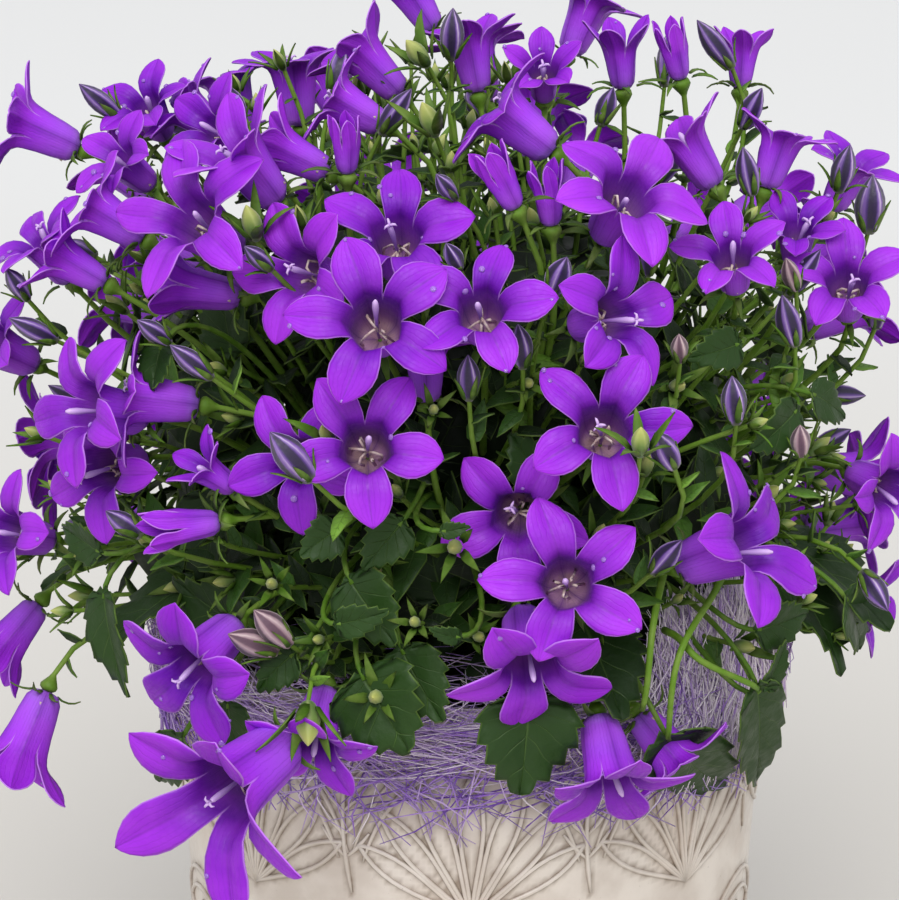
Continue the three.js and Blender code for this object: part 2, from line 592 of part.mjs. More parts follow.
// A blade with a creased midrib, on a stalk whose root is sunk in the core.
function leafSolid({ root, start, end, facing, width }, outline) {
  const points = [];
  const faces = [];
  const add = (point) => points.push(point) - 1;
  const length = start.distanceTo(end);
  const along = end.clone().sub(start).normalize();
  const side = along.clone().cross(facing).normalize();
  const up = side.clone().cross(along).normalize();
  const cup = 0.16;
  const arch = 0.12;
  const bladePoint = (x, y, lift = 0) => {
    const bend = -arch * length * y * y + cup * Math.abs(x) * width + lift;
    return start.clone()
      .addScaledVector(side, x * width)
      .addScaledVector(along, y * length)
      .addScaledVector(up, bend);
  };
  const stalk = PETIOLE_RADIUS;
  const lean = start.clone().sub(root).normalize();
  const rootSide = side.clone().multiplyScalar(stalk);
  const rootUp = rootSide.clone().cross(lean).setLength(stalk);
  const ribs = outline.length > 5 ? [0, 0.34, 0.68] : [0, 0.42];
  const top = ribs.map((y) => add(bladePoint(0, y, LEAF_THICKNESS * (y === 0 ? 0.8 : 0.5))));
  const bottom = ribs.map((y) => add(bladePoint(0, y, -LEAF_THICKNESS * (y === 0 ? 0.8 : 0.5))));
  const tip = add(bladePoint(0, 1));
  const edges = [-1, 1].map((sign) => [
    add(start.clone().addScaledVector(rootSide, sign)),
    ...outline.map(([x, y]) => add(bladePoint(sign * x, y))),
    tip,
  ]);
  const heights = [0, ...outline.map(([, y]) => y), 1];
  const ribHeights = [...ribs, 1];
  for (const [edge, turn] of [[edges[0], 0], [edges[1], 1]]) {
    let rib = 0;
    let corner = 0;
    while (corner < edge.length - 2 || rib < ribs.length - 1) {
      const ribNext = rib < ribs.length - 1 ? ribHeights[rib + 1] : Infinity;
      const edgeNext = corner < edge.length - 2 ? heights[corner + 1] : Infinity;
      const tops = edgeNext <= ribNext
        ? [top[rib], edge[corner], edge[corner + 1]]
        : [top[rib], edge[corner], top[rib + 1]];
      const lows = edgeNext <= ribNext
        ? [bottom[rib], edge[corner], edge[corner + 1]]
        : [bottom[rib], edge[corner], bottom[rib + 1]];
      if (edgeNext <= ribNext) corner += 1;
      else rib += 1;
      faces.push(turn ? tops : [tops[0], tops[2], tops[1]]);
      faces.push(turn ? [lows[0], lows[2], lows[1]] : lows);
    }
    const last = [top[rib], edge[corner], tip];
    const under = [bottom[rib], edge[corner], tip];
    faces.push(turn ? last : [last[0], last[2], last[1]]);
    faces.push(turn ? [under[0], under[2], under[1]] : under);
  }
  const upper = [edges[1][0], bottom[0], edges[0][0], top[0]];
  const lower = [
    add(root.clone().add(rootSide)),
    add(root.clone().sub(rootUp)),
    add(root.clone().sub(rootSide)),
    add(root.clone().add(rootUp)),
  ];
  faces.push(...ringFaces(lower, upper));
  faces.push([lower[0], lower[2], lower[1]], [lower[0], lower[3], lower[2]]);
  return solidOf(points, faces);
}

// A point in the core from which a stalk can run out to a given point.
function coreRoot(point, depth = 0.9) {
  const away = point.clone().sub(DOME_CENTRE);
  away.z *= 0.75;
  const probe = DOME_CENTRE.clone().add(away);
  const size = domeLevel(probe, CORE_SCALE) ** (-1 / DOME_POWER);
  const root = DOME_CENTRE.clone().addScaledVector(away, Math.min(size, 1) * depth);
  root.z = Math.max(root.z, CORE_LOWEST_ROOT);
  return root;
}

// Whether a point is inside a bloom's petals or tube, or within a margin of them.
function nearBloom(point, blooms, margin) {
  return blooms.some(({ middle, facing, span, open }) => {
    const away = point.clone().sub(middle);
    if (away.length() > 0.75 * span + margin) return false;
    const along = away.dot(facing);
    const across = Math.sqrt(Math.max(away.lengthSq() - along * along, 0));
    const rise = LOBE_LENGTH * span * Math.cos((Math.PI / 2) * open);
    const inPetals = along > -0.1 * span - margin
      && along < rise + 0.1 * span + margin && across < 0.5 * span + margin;
    const inTube = along > -TUBE_LENGTH * span - margin
      && along < 0 && across < THROAT_RADIUS * span + margin;
    return inPetals || inTube;
  });
}

function inWindow(point) {
  const [column, row] = readingOf(point);
  return WINDOWS.some(([left, top, right, bottom]) =>
    column > left && column < right && row > top && row < bottom);
}

function leafSamples({ start, end, facing, width }) {
  const along = end.clone().sub(start);
  const side = along.clone().cross(facing).normalize();
  const places = [[0, 0], [0, 0.35], [0, 0.7], [0, 1], [-0.4, 0.25], [0.4, 0.25]];
  places.push([-0.35, 0.6], [0.35, 0.6]);
  return places.map(([x, y]) =>
    start.clone().addScaledVector(along, y).addScaledVector(side, x * width));
}

function seenLeaves() {
  return SEEN_LEAVES.map(({ start, end, width, sink }) => {
    const from = sightPoint(start, sink[0]);
    const to = sightPoint(end, sink[1]);
    const facing = domeFacing(from.clone().add(to).multiplyScalar(0.5));
    return { start: from, end: to, facing, width, large: true };
  });
}

function spreadLeaves(blooms) {
  const random = seededRandom(23);
  const leaves = [];
  for (let index = 0; index < SKIRT_LEAVES; index += 1) {
    const azimuth = (index * TAU) / SKIRT_LEAVES + 0.2 * (random() - 0.5);
    const length = between(random, SKIRT_LENGTH);
    const height = SKIRT_HEIGHT + 10 * (random() - 0.5);
    const turn = azimuth + 0.5 * (random() - 0.5);
    const start = polar(SKIRT_RADIUS + 6 * random(), azimuth, height);
    const along = polar(1, turn, -(SKIRT_DROP + 9 * random()) / 20).normalize();
    const end = start.clone().addScaledVector(along, length);
    const facing = new THREE.Vector3(0, 0, 1).addScaledVector(along, 0.4).normalize();
    leaves.push({ start, end, facing, width: 0.78 * length, large: true });
  }
  for (let index = 0; index < SPREAD_LEAVES; index += 1) {
    const height = 1 - (1.4 * (index + 0.5)) / SPREAD_LEAVES;
    const azimuth = index * GOLDEN_ANGLE;
    const length = between(random, SPREAD_LEAF_LENGTH);
    const level = LEAF_LEVEL + 0.1 * (random() - 0.5);
    const start = domePoint(azimuth, Math.asin(height), level);
    const facing = domeFacing(start);
    const twist = TAU * random();
    const tilt = 0.5 * random();
    const any = new THREE.Vector3(Math.cos(twist), Math.sin(twist), -0.3);
    const flat = any.addScaledVector(facing, -any.dot(facing)).normalize();
    const along = flat.addScaledVector(facing, tilt).normalize();
    const end = start.clone().addScaledVector(along, length);
    leaves.push({ start, end, facing, width: 0.72 * length, large: false });
  }
  return leaves.filter((leaf) =>
    !leafSamples(leaf).some((sample) => inWindow(sample) || nearBloom(sample, blooms, 1.5)));
}

// Assembly

const potProfile = [
  [0, 0],
  [POT_BOTTOM_RADIUS - POT_FOOT_ROUND, 0],
  [POT_BOTTOM_RADIUS - 0.3 * POT_FOOT_ROUND, 0.3 * POT_FOOT_ROUND],
  [POT_BOTTOM_RADIUS + 0.2, POT_FOOT_ROUND],
  [(POT_BOTTOM_RADIUS + POT_TOP_RADIUS) / 2 + 0.3, POT_HEIGHT / 2],
  [POT_TOP_RADIUS, POT_HEIGHT - POT_RIM_ROUND],
  [POT_TOP_RADIUS - 0.3 * POT_RIM_ROUND, POT_HEIGHT - 0.3 * POT_RIM_ROUND],
  [POT_TOP_RADIUS - POT_WALL / 2, POT_HEIGHT],
  [POT_TOP_RADIUS - POT_WALL + 0.3 * POT_RIM_ROUND, POT_HEIGHT - 0.3 * POT_RIM_ROUND],
  [POT_TOP_RADIUS - POT_WALL, POT_HEIGHT - POT_RIM_ROUND],
  [POT_BOTTOM_RADIUS - POT_WALL, POT_FLOOR + 6],
  [POT_BOTTOM_RADIUS - POT_WALL - 5, POT_FLOOR],
  [0, POT_FLOOR],
];

const nurseryFoot = POT_FLOOR + FIT_GAP;
const nurseryTop = nurseryFoot + NURSERY_HEIGHT;
const nurseryProfile = [
  [0, nurseryFoot],
  [NURSERY_BOTTOM_RADIUS, nurseryFoot],
  [NURSERY_TOP_RADIUS - NURSERY_LIP, nurseryTop - 8],
  [NURSERY_TOP_RADIUS, nurseryTop - 8],
  [NURSERY_TOP_RADIUS, nurseryTop],
  [NURSERY_TOP_RADIUS - NURSERY_WALL, nurseryTop],
  [NURSERY_TOP_RADIUS - NURSERY_WALL, nurseryTop - 6.8],
  [NURSERY_TOP_RADIUS - NURSERY_LIP - NURSERY_WALL, nurseryTop - 6.8],
  [NURSERY_BOTTOM_RADIUS - NURSERY_WALL, nurseryFoot + NURSERY_WALL],
  [0, nurseryFoot + NURSERY_WALL],
];

const soilTop = nurseryTop - SOIL_DROP;
const soilTopRadius = NURSERY_TOP_RADIUS - NURSERY_LIP - NURSERY_WALL - 2 * FIT_GAP;
const soilProfile = [
  [0, nurseryFoot + NURSERY_WALL + FIT_GAP],
  [NURSERY_BOTTOM_RADIUS - NURSERY_WALL - 2 * FIT_GAP, nurseryFoot + NURSERY_WALL + FIT_GAP],
  [soilTopRadius, soilTop - 1.5],
  [0.6 * soilTopRadius, soilTop],
  [CROWN_RADIUS + FIT_GAP + 1, soilTop - 0.5],
  [CROWN_RADIUS + FIT_GAP, soilTop - CROWN_DEPTH],
  [0, soilTop - CROWN_DEPTH],
];

// The collar's section at one angle; odd segments stand prouder, as bundles of strands.
function sisalSection(segment) {
  const angle = (segment * TAU) / SISAL_SEGMENTS;
  const proud = segment % 2 ? SISAL_STRAND : 0;
  const wave = Math.sin(3 * angle + 0.7) + 0.7 * Math.sin(7 * angle) + 0.5 * Math.sin(13 * angle);
  const hem = SISAL_HEM + SISAL_HEM_RAG * (wave / 2.2) + (segment % 2 ? -4 : 2);
  const taper = (POT_TOP_RADIUS - POT_BOTTOM_RADIUS) / (POT_HEIGHT - 6);
  const wallAt = (height) => POT_TOP_RADIUS - taper * (POT_HEIGHT - height) + 0.3;
  const gap = 2 * FIT_GAP;
  const innerWall = POT_TOP_RADIUS - POT_WALL - gap;
  const crest = SISAL_CREST + 0.8 * wave;
  return [
    [SISAL_INNER_RADIUS, nurseryTop + gap],
    [innerWall - 1.2, nurseryTop + gap + 2],
    [innerWall, POT_HEIGHT + gap],
    [POT_TOP_RADIUS - POT_WALL / 2, POT_HEIGHT + 2 * gap],
    [wallAt(POT_HEIGHT) + gap + 0.4, POT_HEIGHT - 0.5 * POT_RIM_ROUND],
    [wallAt(hem) + gap, hem],
    [wallAt(hem) + gap + 1.6 + 0.4 * proud, hem + 0.5],
    [wallAt(118) + 5.5 + proud, 118],
    [POT_TOP_RADIUS + 2 + proud, POT_HEIGHT + 4],
    [POT_TOP_RADIUS - 8, crest + proud],
    [SISAL_INNER_RADIUS + 1, crest - 8 + proud],
  ];
}

function sisalSolid() {
  const points = [];
  const rings = [];
  for (let segment = 0; segment < SISAL_SEGMENTS; segment += 1) {
    const angle = (segment * TAU) / SISAL_SEGMENTS;
    rings.push(sisalSection(segment).map(([radius, height]) =>
      points.push(polar(radius, angle, height)) - 1));
  }
  const faces = rings.flatMap((ring, index) =>
    ringFaces(ring, rings[(index + 1) % SISAL_SEGMENTS]));
  return solidOf(points, faces);
}

function coreSolid() {
  const profile = [
    [0, soilTop - CROWN_DEPTH + FIT_GAP],
    [CROWN_RADIUS, soilTop - CROWN_DEPTH + FIT_GAP],
    [CROWN_RADIUS, soilTop + 2],
    [0.6 * SISAL_INNER_RADIUS, SISAL_CREST - 14],
    [SISAL_INNER_RADIUS - 6, SISAL_CREST + 4],
  ];
  for (let row = 0; row <= CORE_ROWS; row += 1) {
    const elevation = -0.12 + (row * (Math.PI / 2 + 0.12)) / CORE_ROWS;
    const point = domePoint(0, elevation, CORE_SCALE).sub(DOME_CENTRE);
    profile.push([row === CORE_ROWS ? 0 : point.x, DOME_CENTRE.z + point.z]);
  }
  const points = [];
  const rings = profile.map(([radius, height]) => {
    if (radius === 0) return [points.push(new THREE.Vector3(0, 0, height)) - 1];
    return Array.from({ length: CORE_SIDES }, (_, side) =>
      points.push(polar(radius, (side * TAU) / CORE_SIDES, height)) - 1);
  });
  const faces = [];
  for (let row = 0; row + 1 < rings.length; row += 1) {
    const [lower, upper] = [rings[row], rings[row + 1]];
    for (let side = 0; side < CORE_SIDES; side += 1) {
      const next = (side + 1) % CORE_SIDES;
      if (lower.length === 1) faces.push([lower[0], upper[next], upper[side]]);
      else if (upper.length === 1) faces.push([lower[side], lower[next], upper[0]]);
      else faces.push([lower[side], lower[next], upper[next]], [lower[side], upper[next], upper[side]]);
    }
  }
  return solidOf(points, faces);
}

const finish = (color, roughness) =>
  new THREE.MeshStandardMaterial({ color, roughness, metalness: 0 });
const glaze = finish(0xd6cdc6, 0.35);
const plastic = finish(0x7a4a34, 0.6);
const earth = finish(0x3a2a20, 0.95);
const fibre = finish(0xa68ab8, 0.85);
const leafGreen = finish(0x3f5c36, 0.6);
const petal = finish(0x8f36c8, 0.55);

const group = new THREE.Group();
function place(name, geometry, material) {
  const mesh = new THREE.Mesh(geometry, material);
  mesh.name = name;
  group.add(mesh);
}

place("cover_pot", turned(potProfile, POT_SEGMENTS), glaze);
place("nursery_pot", turned(nurseryProfile, NURSERY_SEGMENTS), plastic);
place("soil", turned(soilProfile, NURSERY_SEGMENTS), earth);
const sisal = sisalSolid();
place("sisal_collar", geometryOf(sisal), fibre);

// Blooms whose petals cross are fused, and their node is named after the first of them.
const blooms = spreadBlooms(SEEN_BLOOMS.map(placedBloom));
const clusters = [];
for (const bloom of blooms) {
  let solid = bloomSolid(bloom);
  const touching = clusters.filter((cluster) => crosses(cluster.solid, solid));
  const cluster = touching[0] ?? { name: bloom.name };
  for (const other of touching) {
    solid = solid.add(other.solid);
    clusters.splice(clusters.indexOf(other), 1);
  }
  cluster.solid = solid;
  clusters.push(cluster);
}
for (const cluster of clusters) {
  cluster.solid = largestBody(cluster.solid);
  place(`bloom_${cluster.name}`, geometryOf(cluster.solid), petal);
}

// The green body: core, calyxes, buds and leaves, each clear of every bloom.
const allBlooms = wasm.Manifold.union(clusters.map((cluster) => cluster.solid));
const obstacles = [allBlooms, sisal];
const isClear = (solid) => obstacles.every((obstacle) => !crosses(solid, obstacle));
const greens = [coreSolid()];

// Grows the first of several shapes that is clear of everything, and says if one was.
function grow(shapes) {
  for (const shape of shapes) {
    const solid = shape();
    if (isClear(solid)) {
      greens.push(solid);
      obstacles.push(solid);
      return true;
    }
  }
  return false;
}

const swerves = [
  [0, 0], [8, 0], [-8, 0], [0, 8], [0, -8], [14, 0], [-14, 0], [0, 14], [10, -14],
  [20, 6], [-20, 6], [0, 22], [0, 30], [26, 16], [-26, 16], [4, 0], [-4, 0], [0, 4], [0, -4],
  [14, 14], [-14, 14], [14, -8], [-14, -8], [0, -20], [34, 4], [-34, 4], [0, 40], [20, 30], [-20, 30],
];
function rootsAround(point) {
  return swerves.map(([aside, lift]) => {
    const root = coreRoot(point);
    const azimuth = Math.atan2(root.y, root.x);
    root.add(new THREE.Vector3(-Math.sin(azimuth), Math.cos(azimuth), 0).multiplyScalar(aside));
    root.z += lift;
    return root;
  });
}

for (const { calyx, facing, toward } of blooms) {
  const under = calyx.clone().addScaledVector(facing, -CALYX_LENGTH);
  grow(rootsAround(under).map((root) => () => calyxSolid(root, calyx, facing, toward)));
}

for (const { tip, base, width, sink } of SEEN_BUDS) {
  const distance = sightDistance(base) + sink;
  const low = EYE.clone().addScaledVector(sightDirection(base), distance + BUD_LEAN);
  const high = EYE.clone().addScaledVector(sightDirection(tip), distance);
  grow(rootsAround(low).map((root) => () => budSolid(root, low, high, width)));
}

let spreadLeafCount = 0;
for (const leaf of [...seenLeaves(), ...spreadLeaves(blooms)]) {
  if (!leaf.large && spreadLeafCount >= SPREAD_LEAF_LIMIT) break;
  const outline = leaf.large ? LARGE_OUTLINE : SMALL_OUTLINE;
  const roots = rootsAround(leaf.start).slice(0, 5);
  const fits = grow(roots.map((root) => () => leafSolid({ ...leaf, root }, outline)));
  if (fits && !leaf.large) spreadLeafCount += 1;
}

const foliage = largestBody(wasm.Manifold.union(greens));
place("foliage", geometryOf(foliage), leafGreen);

export default group;
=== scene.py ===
import math

import bpy
import numpy as np
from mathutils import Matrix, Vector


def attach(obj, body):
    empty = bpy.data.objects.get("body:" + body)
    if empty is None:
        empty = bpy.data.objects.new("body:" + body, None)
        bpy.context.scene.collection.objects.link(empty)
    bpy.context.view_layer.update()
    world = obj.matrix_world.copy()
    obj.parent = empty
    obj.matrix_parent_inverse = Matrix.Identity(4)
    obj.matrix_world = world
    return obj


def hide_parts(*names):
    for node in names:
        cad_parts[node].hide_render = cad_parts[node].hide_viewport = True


# A bellflower in bloom in a round ceramic cover pot, with a collar of sisal over the rim.
# Lengths are millimetres until a mesh is made. -Y faces the viewer and +Z is up.

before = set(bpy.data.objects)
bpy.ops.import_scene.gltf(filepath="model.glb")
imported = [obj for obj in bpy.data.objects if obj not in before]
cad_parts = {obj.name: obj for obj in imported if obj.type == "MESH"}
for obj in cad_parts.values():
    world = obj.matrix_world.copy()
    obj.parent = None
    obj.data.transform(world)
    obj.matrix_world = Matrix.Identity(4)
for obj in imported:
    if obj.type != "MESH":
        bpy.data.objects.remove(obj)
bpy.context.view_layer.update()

MM = 0.001
TAU = 2 * math.pi
LOBES = 5
UP = np.array([0, 0, 1])
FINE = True

# The bush, as in the model: bloom mouths lie on a rounded dome.
DOME_CENTRE = np.array([-4.0, 0.0, 158.0])
DOME_REACH = 103
DOME_RISE = 104
DOME_DROP = 76
DOME_POWER = 2.9
CORE_LOWEST_ROOT = 155
CROWN_HEIGHT = 100
CROWN_RADIUS = 14

# A bloom, in shares of its span from tip to tip.
TUBE_LENGTH = 0.4
THROAT_RADIUS = 0.16
PETAL_LENGTH = 0.415
STYLE_REACH = 0.1

# The viewpoint of the picture readings. A reading is a column and a row in pixels.
EYE = np.array([-4.7, -620.0, 337.0])
EYE_PITCH = math.radians(15.4)
FOCAL_PIXELS = 2790
PICTURE_SIDE = 900
PICTURE_MIDDLE = (449.5, 450)

# How far from the eye the dome is looked for along a sight line, and in what steps.
SIGHT_REACH = (470, 700)
SIGHT_STEP = 0.5

# Blooms seen from the front: name, readings of the mouth, the calyx end and one petal tip,
# the span, how far the petals are open, and how far the mouth lies behind the dome.
SEEN_BLOOMS = (
    ("a01", (30, 128), (84, 151), (45, 74), 29, 0.75, 0),
    ("a03", (147, 107), (165, 136), (118, 101), 23, 0.8, 20),
    ("a04", (190, 112), (225, 138), (198, 74), 24, 0.75, 30),
    ("a05", (214, 130), (246, 150), (195, 108), 25, 0.8, 24),
    ("a07", (240, 157), (276, 201), (247, 112), 31, 0.75, 0),
    ("a08", (195, 221), (234, 250), (187, 128), 34, 1, 0),
    ("a09", (100, 212), (146, 240), (61, 190), 26, 0.85, 4),
    ("a10", (42, 245), (70, 279), (30, 202), 25, 0.85, 6),
    ("a11", (122, 162), (150, 185), (146, 121), 23, 0.8, 14),
    ("a12", (192, 288), (240, 296), (145, 298), 25, 0.4, 20),
    ("a13", (302, 272), (338, 282), (284, 207), 30, 0.95, 12),
    ("a14", (396, 238), (400, 272), (413, 155), 31, 1, 10),
    ("a15", (374, 322), (380, 340), (344, 230), 34, 1, -4),
    ("a16", (288, 152), (328, 172), (271, 114), 23, 0.5, 18),
    ("a17", (342, 102), (387, 128), (330, 72), 24, 0.9, 16),
    ("a18", (367, 60), (404, 98), (371, 19), 26, 0.6, 30),
    ("a19", (410, -8), (434, 30), (400, -40), 26, 0.6, 26),
    ("a21", (-4, 345), (34, 364), (20, 320), 28, 0.8, 0),
    ("a22", (90, 407), (144, 416), (72, 334), 33, 1, 0),
    ("a23", (142, 398), (199, 405), (98, 350), 29, 1, 12),
    ("a24", (68, 262), (106, 284), (72, 242), 22, 0.6, 4),
    ("a25", (300, 460), (318, 456), (241, 480), 29, 1, 14),
    ("a26", (366, 447), (368, 458), (310, 378), 31, 1, 0),
    ("a27", (425, 358), (427, 404), (459, 335), 22, 0.8, 20),
    ("b01", (587, 11), (568, 58), (644, 32), 27, 0.8, 22),
    ("b02", (621, 52), (623, 88), (600, 40), 20, 0.4, 10),
    ("b05", (742, 55), (740, 92), (764, 32), 19, 0.4, 24),
    ("b08", (779, 146), (765, 189), (828, 156), 23, 0.75, 6),
    ("b10", (850, 172), (832, 208), (893, 166), 24, 0.8, 12),
    ("b12", (847, 284), (848, 314), (845, 207), 27, 0.85, 0),
    ("b13", (797, 232), (795, 262), (765, 198), 21, 0.8, 14),
    ("b14", (732, 258), (735, 288), (684, 254), 24, 0.8, 0),
    ("b15", (627, 197), (604, 236), (668, 128), 33, 1, -4),
    ("b16", (688, 146), (714, 186), (680, 91), 25, 0.7, 14),
    ("b18", (507, 116), (554, 153), (513, 67), 29, 0.9, 0),
    ("b19", (470, 48), (478, 92), (497, 27), 24, 0.6, 10),
    ("b20", (543, 72), (544, 98), (541, 44), 20, 0.6, 22),
    ("b23", (481, 311), (483, 334), (548, 307), 28, 0.95, -2),
    ("b25", (614, 316), (576, 326), (613, 255), 29, 0.95, 0),
    ("b26", (604, 430), (600, 445), (638, 358), 32, 1, -2),
    ("c02", (11, 533), (50, 540), (30, 472), 28, 0.9, 0),
    ("c03", (104, 468), (140, 460), (160, 480), 30, 1, 16),
    ("c04", (208, 470), (233, 488), (184, 460), 17, 0.5, 8),
    ("c07", (9, 640), (49, 592), (-10, 650), 26, 0.4, 4),
    ("c08", (24, 745), (52, 680), (62, 793), 32, 0.5, 0),
    ("c09", (194, 664), (235, 625), (113, 604), 34, 0.95, 0),
    ("c10", (228, 790), (287, 742), (96, 830), 47, 0.9, -25),
    ("c11", (314, 738), (326, 690), (376, 786), 28, 0.9, 4),
    ("d01", (516, 516), (520, 508), (552, 458), 30, 1, 16),
    ("d02", (567, 583), (567, 589), (541, 495), 33, 1, -2),
    ("d03", (531, 665), (522, 612), (449, 680), 34, 0.95, 0),
    ("d04", (610, 776), (598, 717), (673, 826), 32, 0.85, 0),
    ("d05", (672, 755), (638, 714), (711, 802), 27, 0.9, 16),
    ("d06", (742, 545), (681, 566), (705, 454), 37, 0.95, 0),
    ("d07", (886, 488), (852, 473), (880, 440), 28, 0.8, 6),
)

# How some of them differ from the rest: petal width and lengths, and how far they are open.
OWN_SHAPES = {
    "a07": dict(wider=0.84, opened=0.55),
    "a08": dict(wider=0.88, lengths=(1.22, 1.1, 1.12, 1.1, 1.1)),
    "c10": dict(wider=0.85, opened=0.75, lengths=(1.2, 1.15, 1.35, 1.0, 0.8)),
}

# Blooms on the sides and back, two at a time, spread by the golden angle.
SPREAD_SPRAYS = 160
SPRAY_CLEARANCE = 36
SPRAY_PITCH = 0.54
SPREAD_SPAN = (28, 33)
HIDDEN_FROM_EYE = 0.12
GOLDEN_ANGLE = math.pi * (3 - math.sqrt(5))

# Single blooms that fill the gaps there.
FILLING_TRIES = 400
FILLING_CLEARANCE = 28.5
FILLING_SPAN = (25, 29)

# Buds: readings of the tip and the base, the thickness, the sink and the kind. The base
# lies further back than the tip. More of them are spread where the eye doesn't look.
BUD_LEAN = 4
SPREAD_BUDS = 44
SPREAD_BUD_WIDTH = 4.4
BUD_HIDDEN_FROM_EYE = 0.2
STRIPED, HALF_OPEN, GREEN, PINKISH = range(4)
SEEN_BUDS = (
    ((79, 84), (120, 118), 4.4, 10, STRIPED),
    ((227, 85), (240, 125), 4.6, 24, STRIPED),
    ((344, 115), (347, 172), 5, 10, HALF_OPEN),
    ((453, 8), (451, 60), 5, 8, STRIPED),
    ((667, 22), (680, 78), 6.4, 10, HALF_OPEN),
    ((406, 40), (428, 66), 4, 8, GREEN),
    ((422, 102), (436, 136), 4, 8, GREEN),
    ((436, 174), (456, 199), 3.4, 2, STRIPED),
    ((446, 243), (460, 270), 3.6, 2, STRIPED),
    ((697, 20), (732, 68), 5, 10, STRIPED),
    ((762, 88), (742, 128), 4.6, 10, STRIPED),
    ((743, 147), (752, 195), 4.6, 0, STRIPED),
    ((850, 145), (838, 192), 5, 0, STRIPED),
    ((873, 175), (868, 233), 6.5, 4, STRIPED),
    ((484, 150), (515, 207), 6, 0, HALF_OPEN),
    ((544, 163), (551, 224), 6, 4, HALF_OPEN),
    ((567, 257), (552, 293), 5, 2, STRIPED),
    ((518, 324), (523, 368), 4.6, 6, STRIPED),
    ((468, 355), (469, 400), 4.4, 4, STRIPED),
    ((646, 240), (648, 276), 3.6, 8, STRIPED),
    ((679, 334), (680, 362), 3.4, 0, PINKISH),
    ((732, 376), (736, 424), 5, 0, STRIPED),
    ((786, 258), (796, 290), 3.8, 4, PINKISH),
    ((782, 295), (795, 346), 5, 2, STRIPED),
    ((800, 425), (801, 456), 4, 0, PINKISH),
    ((880, 298), (875, 328), 4.2, 0, STRIPED),
    ((143, 532), (218, 522), 7, 6, HALF_OPEN),
    ((228, 634), (277, 652), 5.4, 4, PINKISH),
    ((254, 610), (290, 645), 5.4, 2, PINKISH),
    ((888, 611), (862, 571), 5, 2, STRIPED),
    ((682, 540), (652, 573), 4.6, 2, STRIPED),
    ((655, 432), (674, 468), 5.4, -13, STRIPED),
    ((641, 427), (640, 456), 3.6, -15, GREEN),
    ((270, 432), (312, 480), 6, -9, STRIPED),
    ((244, 246), (272, 270), 3.6, 4, STRIPED),
    ((170, 345), (212, 378), 4.2, 2, STRIPED),
    ((137, 320), (170, 343), 3.8, 2, STRIPED),
    ((6, 268), (28, 300), 4, 2, STRIPED),
    ((9, 318), (57, 341), 4.2, 0, STRIPED),
    ((246, 205), (257, 240), 4, 4, GREEN),
    ((308, 746), (308, 702), 5, -4, GREEN),
)

# Leaves seen from the front: readings of where the blade starts and ends, its width, and
# the sink of its start and its end.
SEEN_LEAVES = (
    ((362, 676), (408, 752), 21, (8, 0)),
    ((402, 650), (438, 724), 14, (10, 4)),
    ((530, 698), (522, 798), 21, (8, 0)),
    ((350, 580), (392, 646), 14, (10, 4)),
    ((337, 624), (388, 615), 7, (3, 1)),
    ((402, 522), (364, 570), 10, (12, 8)),
    ((338, 530), (298, 552), 9, (10, 6)),
    ((104, 594), (112, 698), 14, (14, 8)),
    ((100, 552), (58, 526), 9, (14, 10)),
    ((757, 688), (768, 806), 14, (10, 2)),
    ((764, 688), (793, 644), 7, (10, 8)),
    ((668, 738), (724, 816), 19, (13, 19)),
    ((757, 630), (813, 616), 11, (14, 10)),
    ((846, 598), (874, 654), 13, (12, 6)),
    ((796, 410), (758, 456), 11, (10, 8)),
    ((812, 394), (852, 412), 9, (10, 8)),
    ((738, 344), (694, 362), 9, (10, 8)),
    ((162, 346), (148, 388), 10, (12, 8)),
    ((182, 738), (150, 792), 12, (16, 12)),
    ((228, 704), (234, 758), 10, (14, 10)),
    ((294, 654), (252, 684), 9, (10, 6)),
    ((542, 482), (510, 436), 11, (22, 20)),
    ((441, 531), (470, 529), 3.6, (2, 2)),
    ((460, 637), (429, 634), 3.8, (4, 2)),
)

# Stretches of the picture, as left, top, right and bottom, where no spread leaf shows: the
# first over the pot and the collar, the last beside and above the bush.
WINDOWS = (
    (690, 612, 778, 766), (310, 762, 470, 900), (450, 800, 700, 900), (420, 690, 490, 800),
    (608, 600, 705, 715), (0, 700, 150, 900), (30, 606, 82, 700), (795, 660, 899, 900),
    (880, 560, 899, 900), (70, 562, 140, 592), (800, 508, 870, 540), (450, 380, 520, 500),
)
SKY_WINDOWS = ((0, 60, 110, 420), (560, 0, 899, 190), (830, 190, 899, 420))

# Thick leaf stalks that show at the front, as readings along each, and the sinks of these.
SEEN_STALKS = (
    ((664, 630), (685, 645), (700, 660), (730, 675), (757, 688)),
    ((722, 578), (697, 620), (679, 656), (671, 698), (668, 738)),
    ((664, 572), (656, 608), (651, 642), (648, 676), (642, 710)),
)
SEEN_STALK_SINKS = (26, 15, 10, 8, 9)


# Numbers, directions and frames

def seeded_random(seed):
    """Yields the same numbers from 0 to 1 as the model's own generator."""
    state = seed
    while True:
        state = (1664525 * state + 1013904223) % 2 ** 32
        yield state / 2 ** 32


def unit(vectors):
    return vectors / np.linalg.norm(vectors, axis=-1, keepdims=True)


def smooth(share):
    share = np.clip(share, 0, 1)
    return share * share * (3 - 2 * share)


def between(limits, share):
    return limits[0] + (limits[1] - limits[0]) * share


def polar(radius, angle, height):
    return np.stack(np.broadcast_arrays(radius * np.cos(angle), radius * np.sin(angle), height), -1)


def axes_of(facing, toward):
    """Axes, as rows, of a frame whose z is the facing and whose x is nearest to toward."""
    z = unit(facing)
    x = unit(toward - np.dot(toward, z) * z)
    return np.stack([x, np.cross(z, x), z])


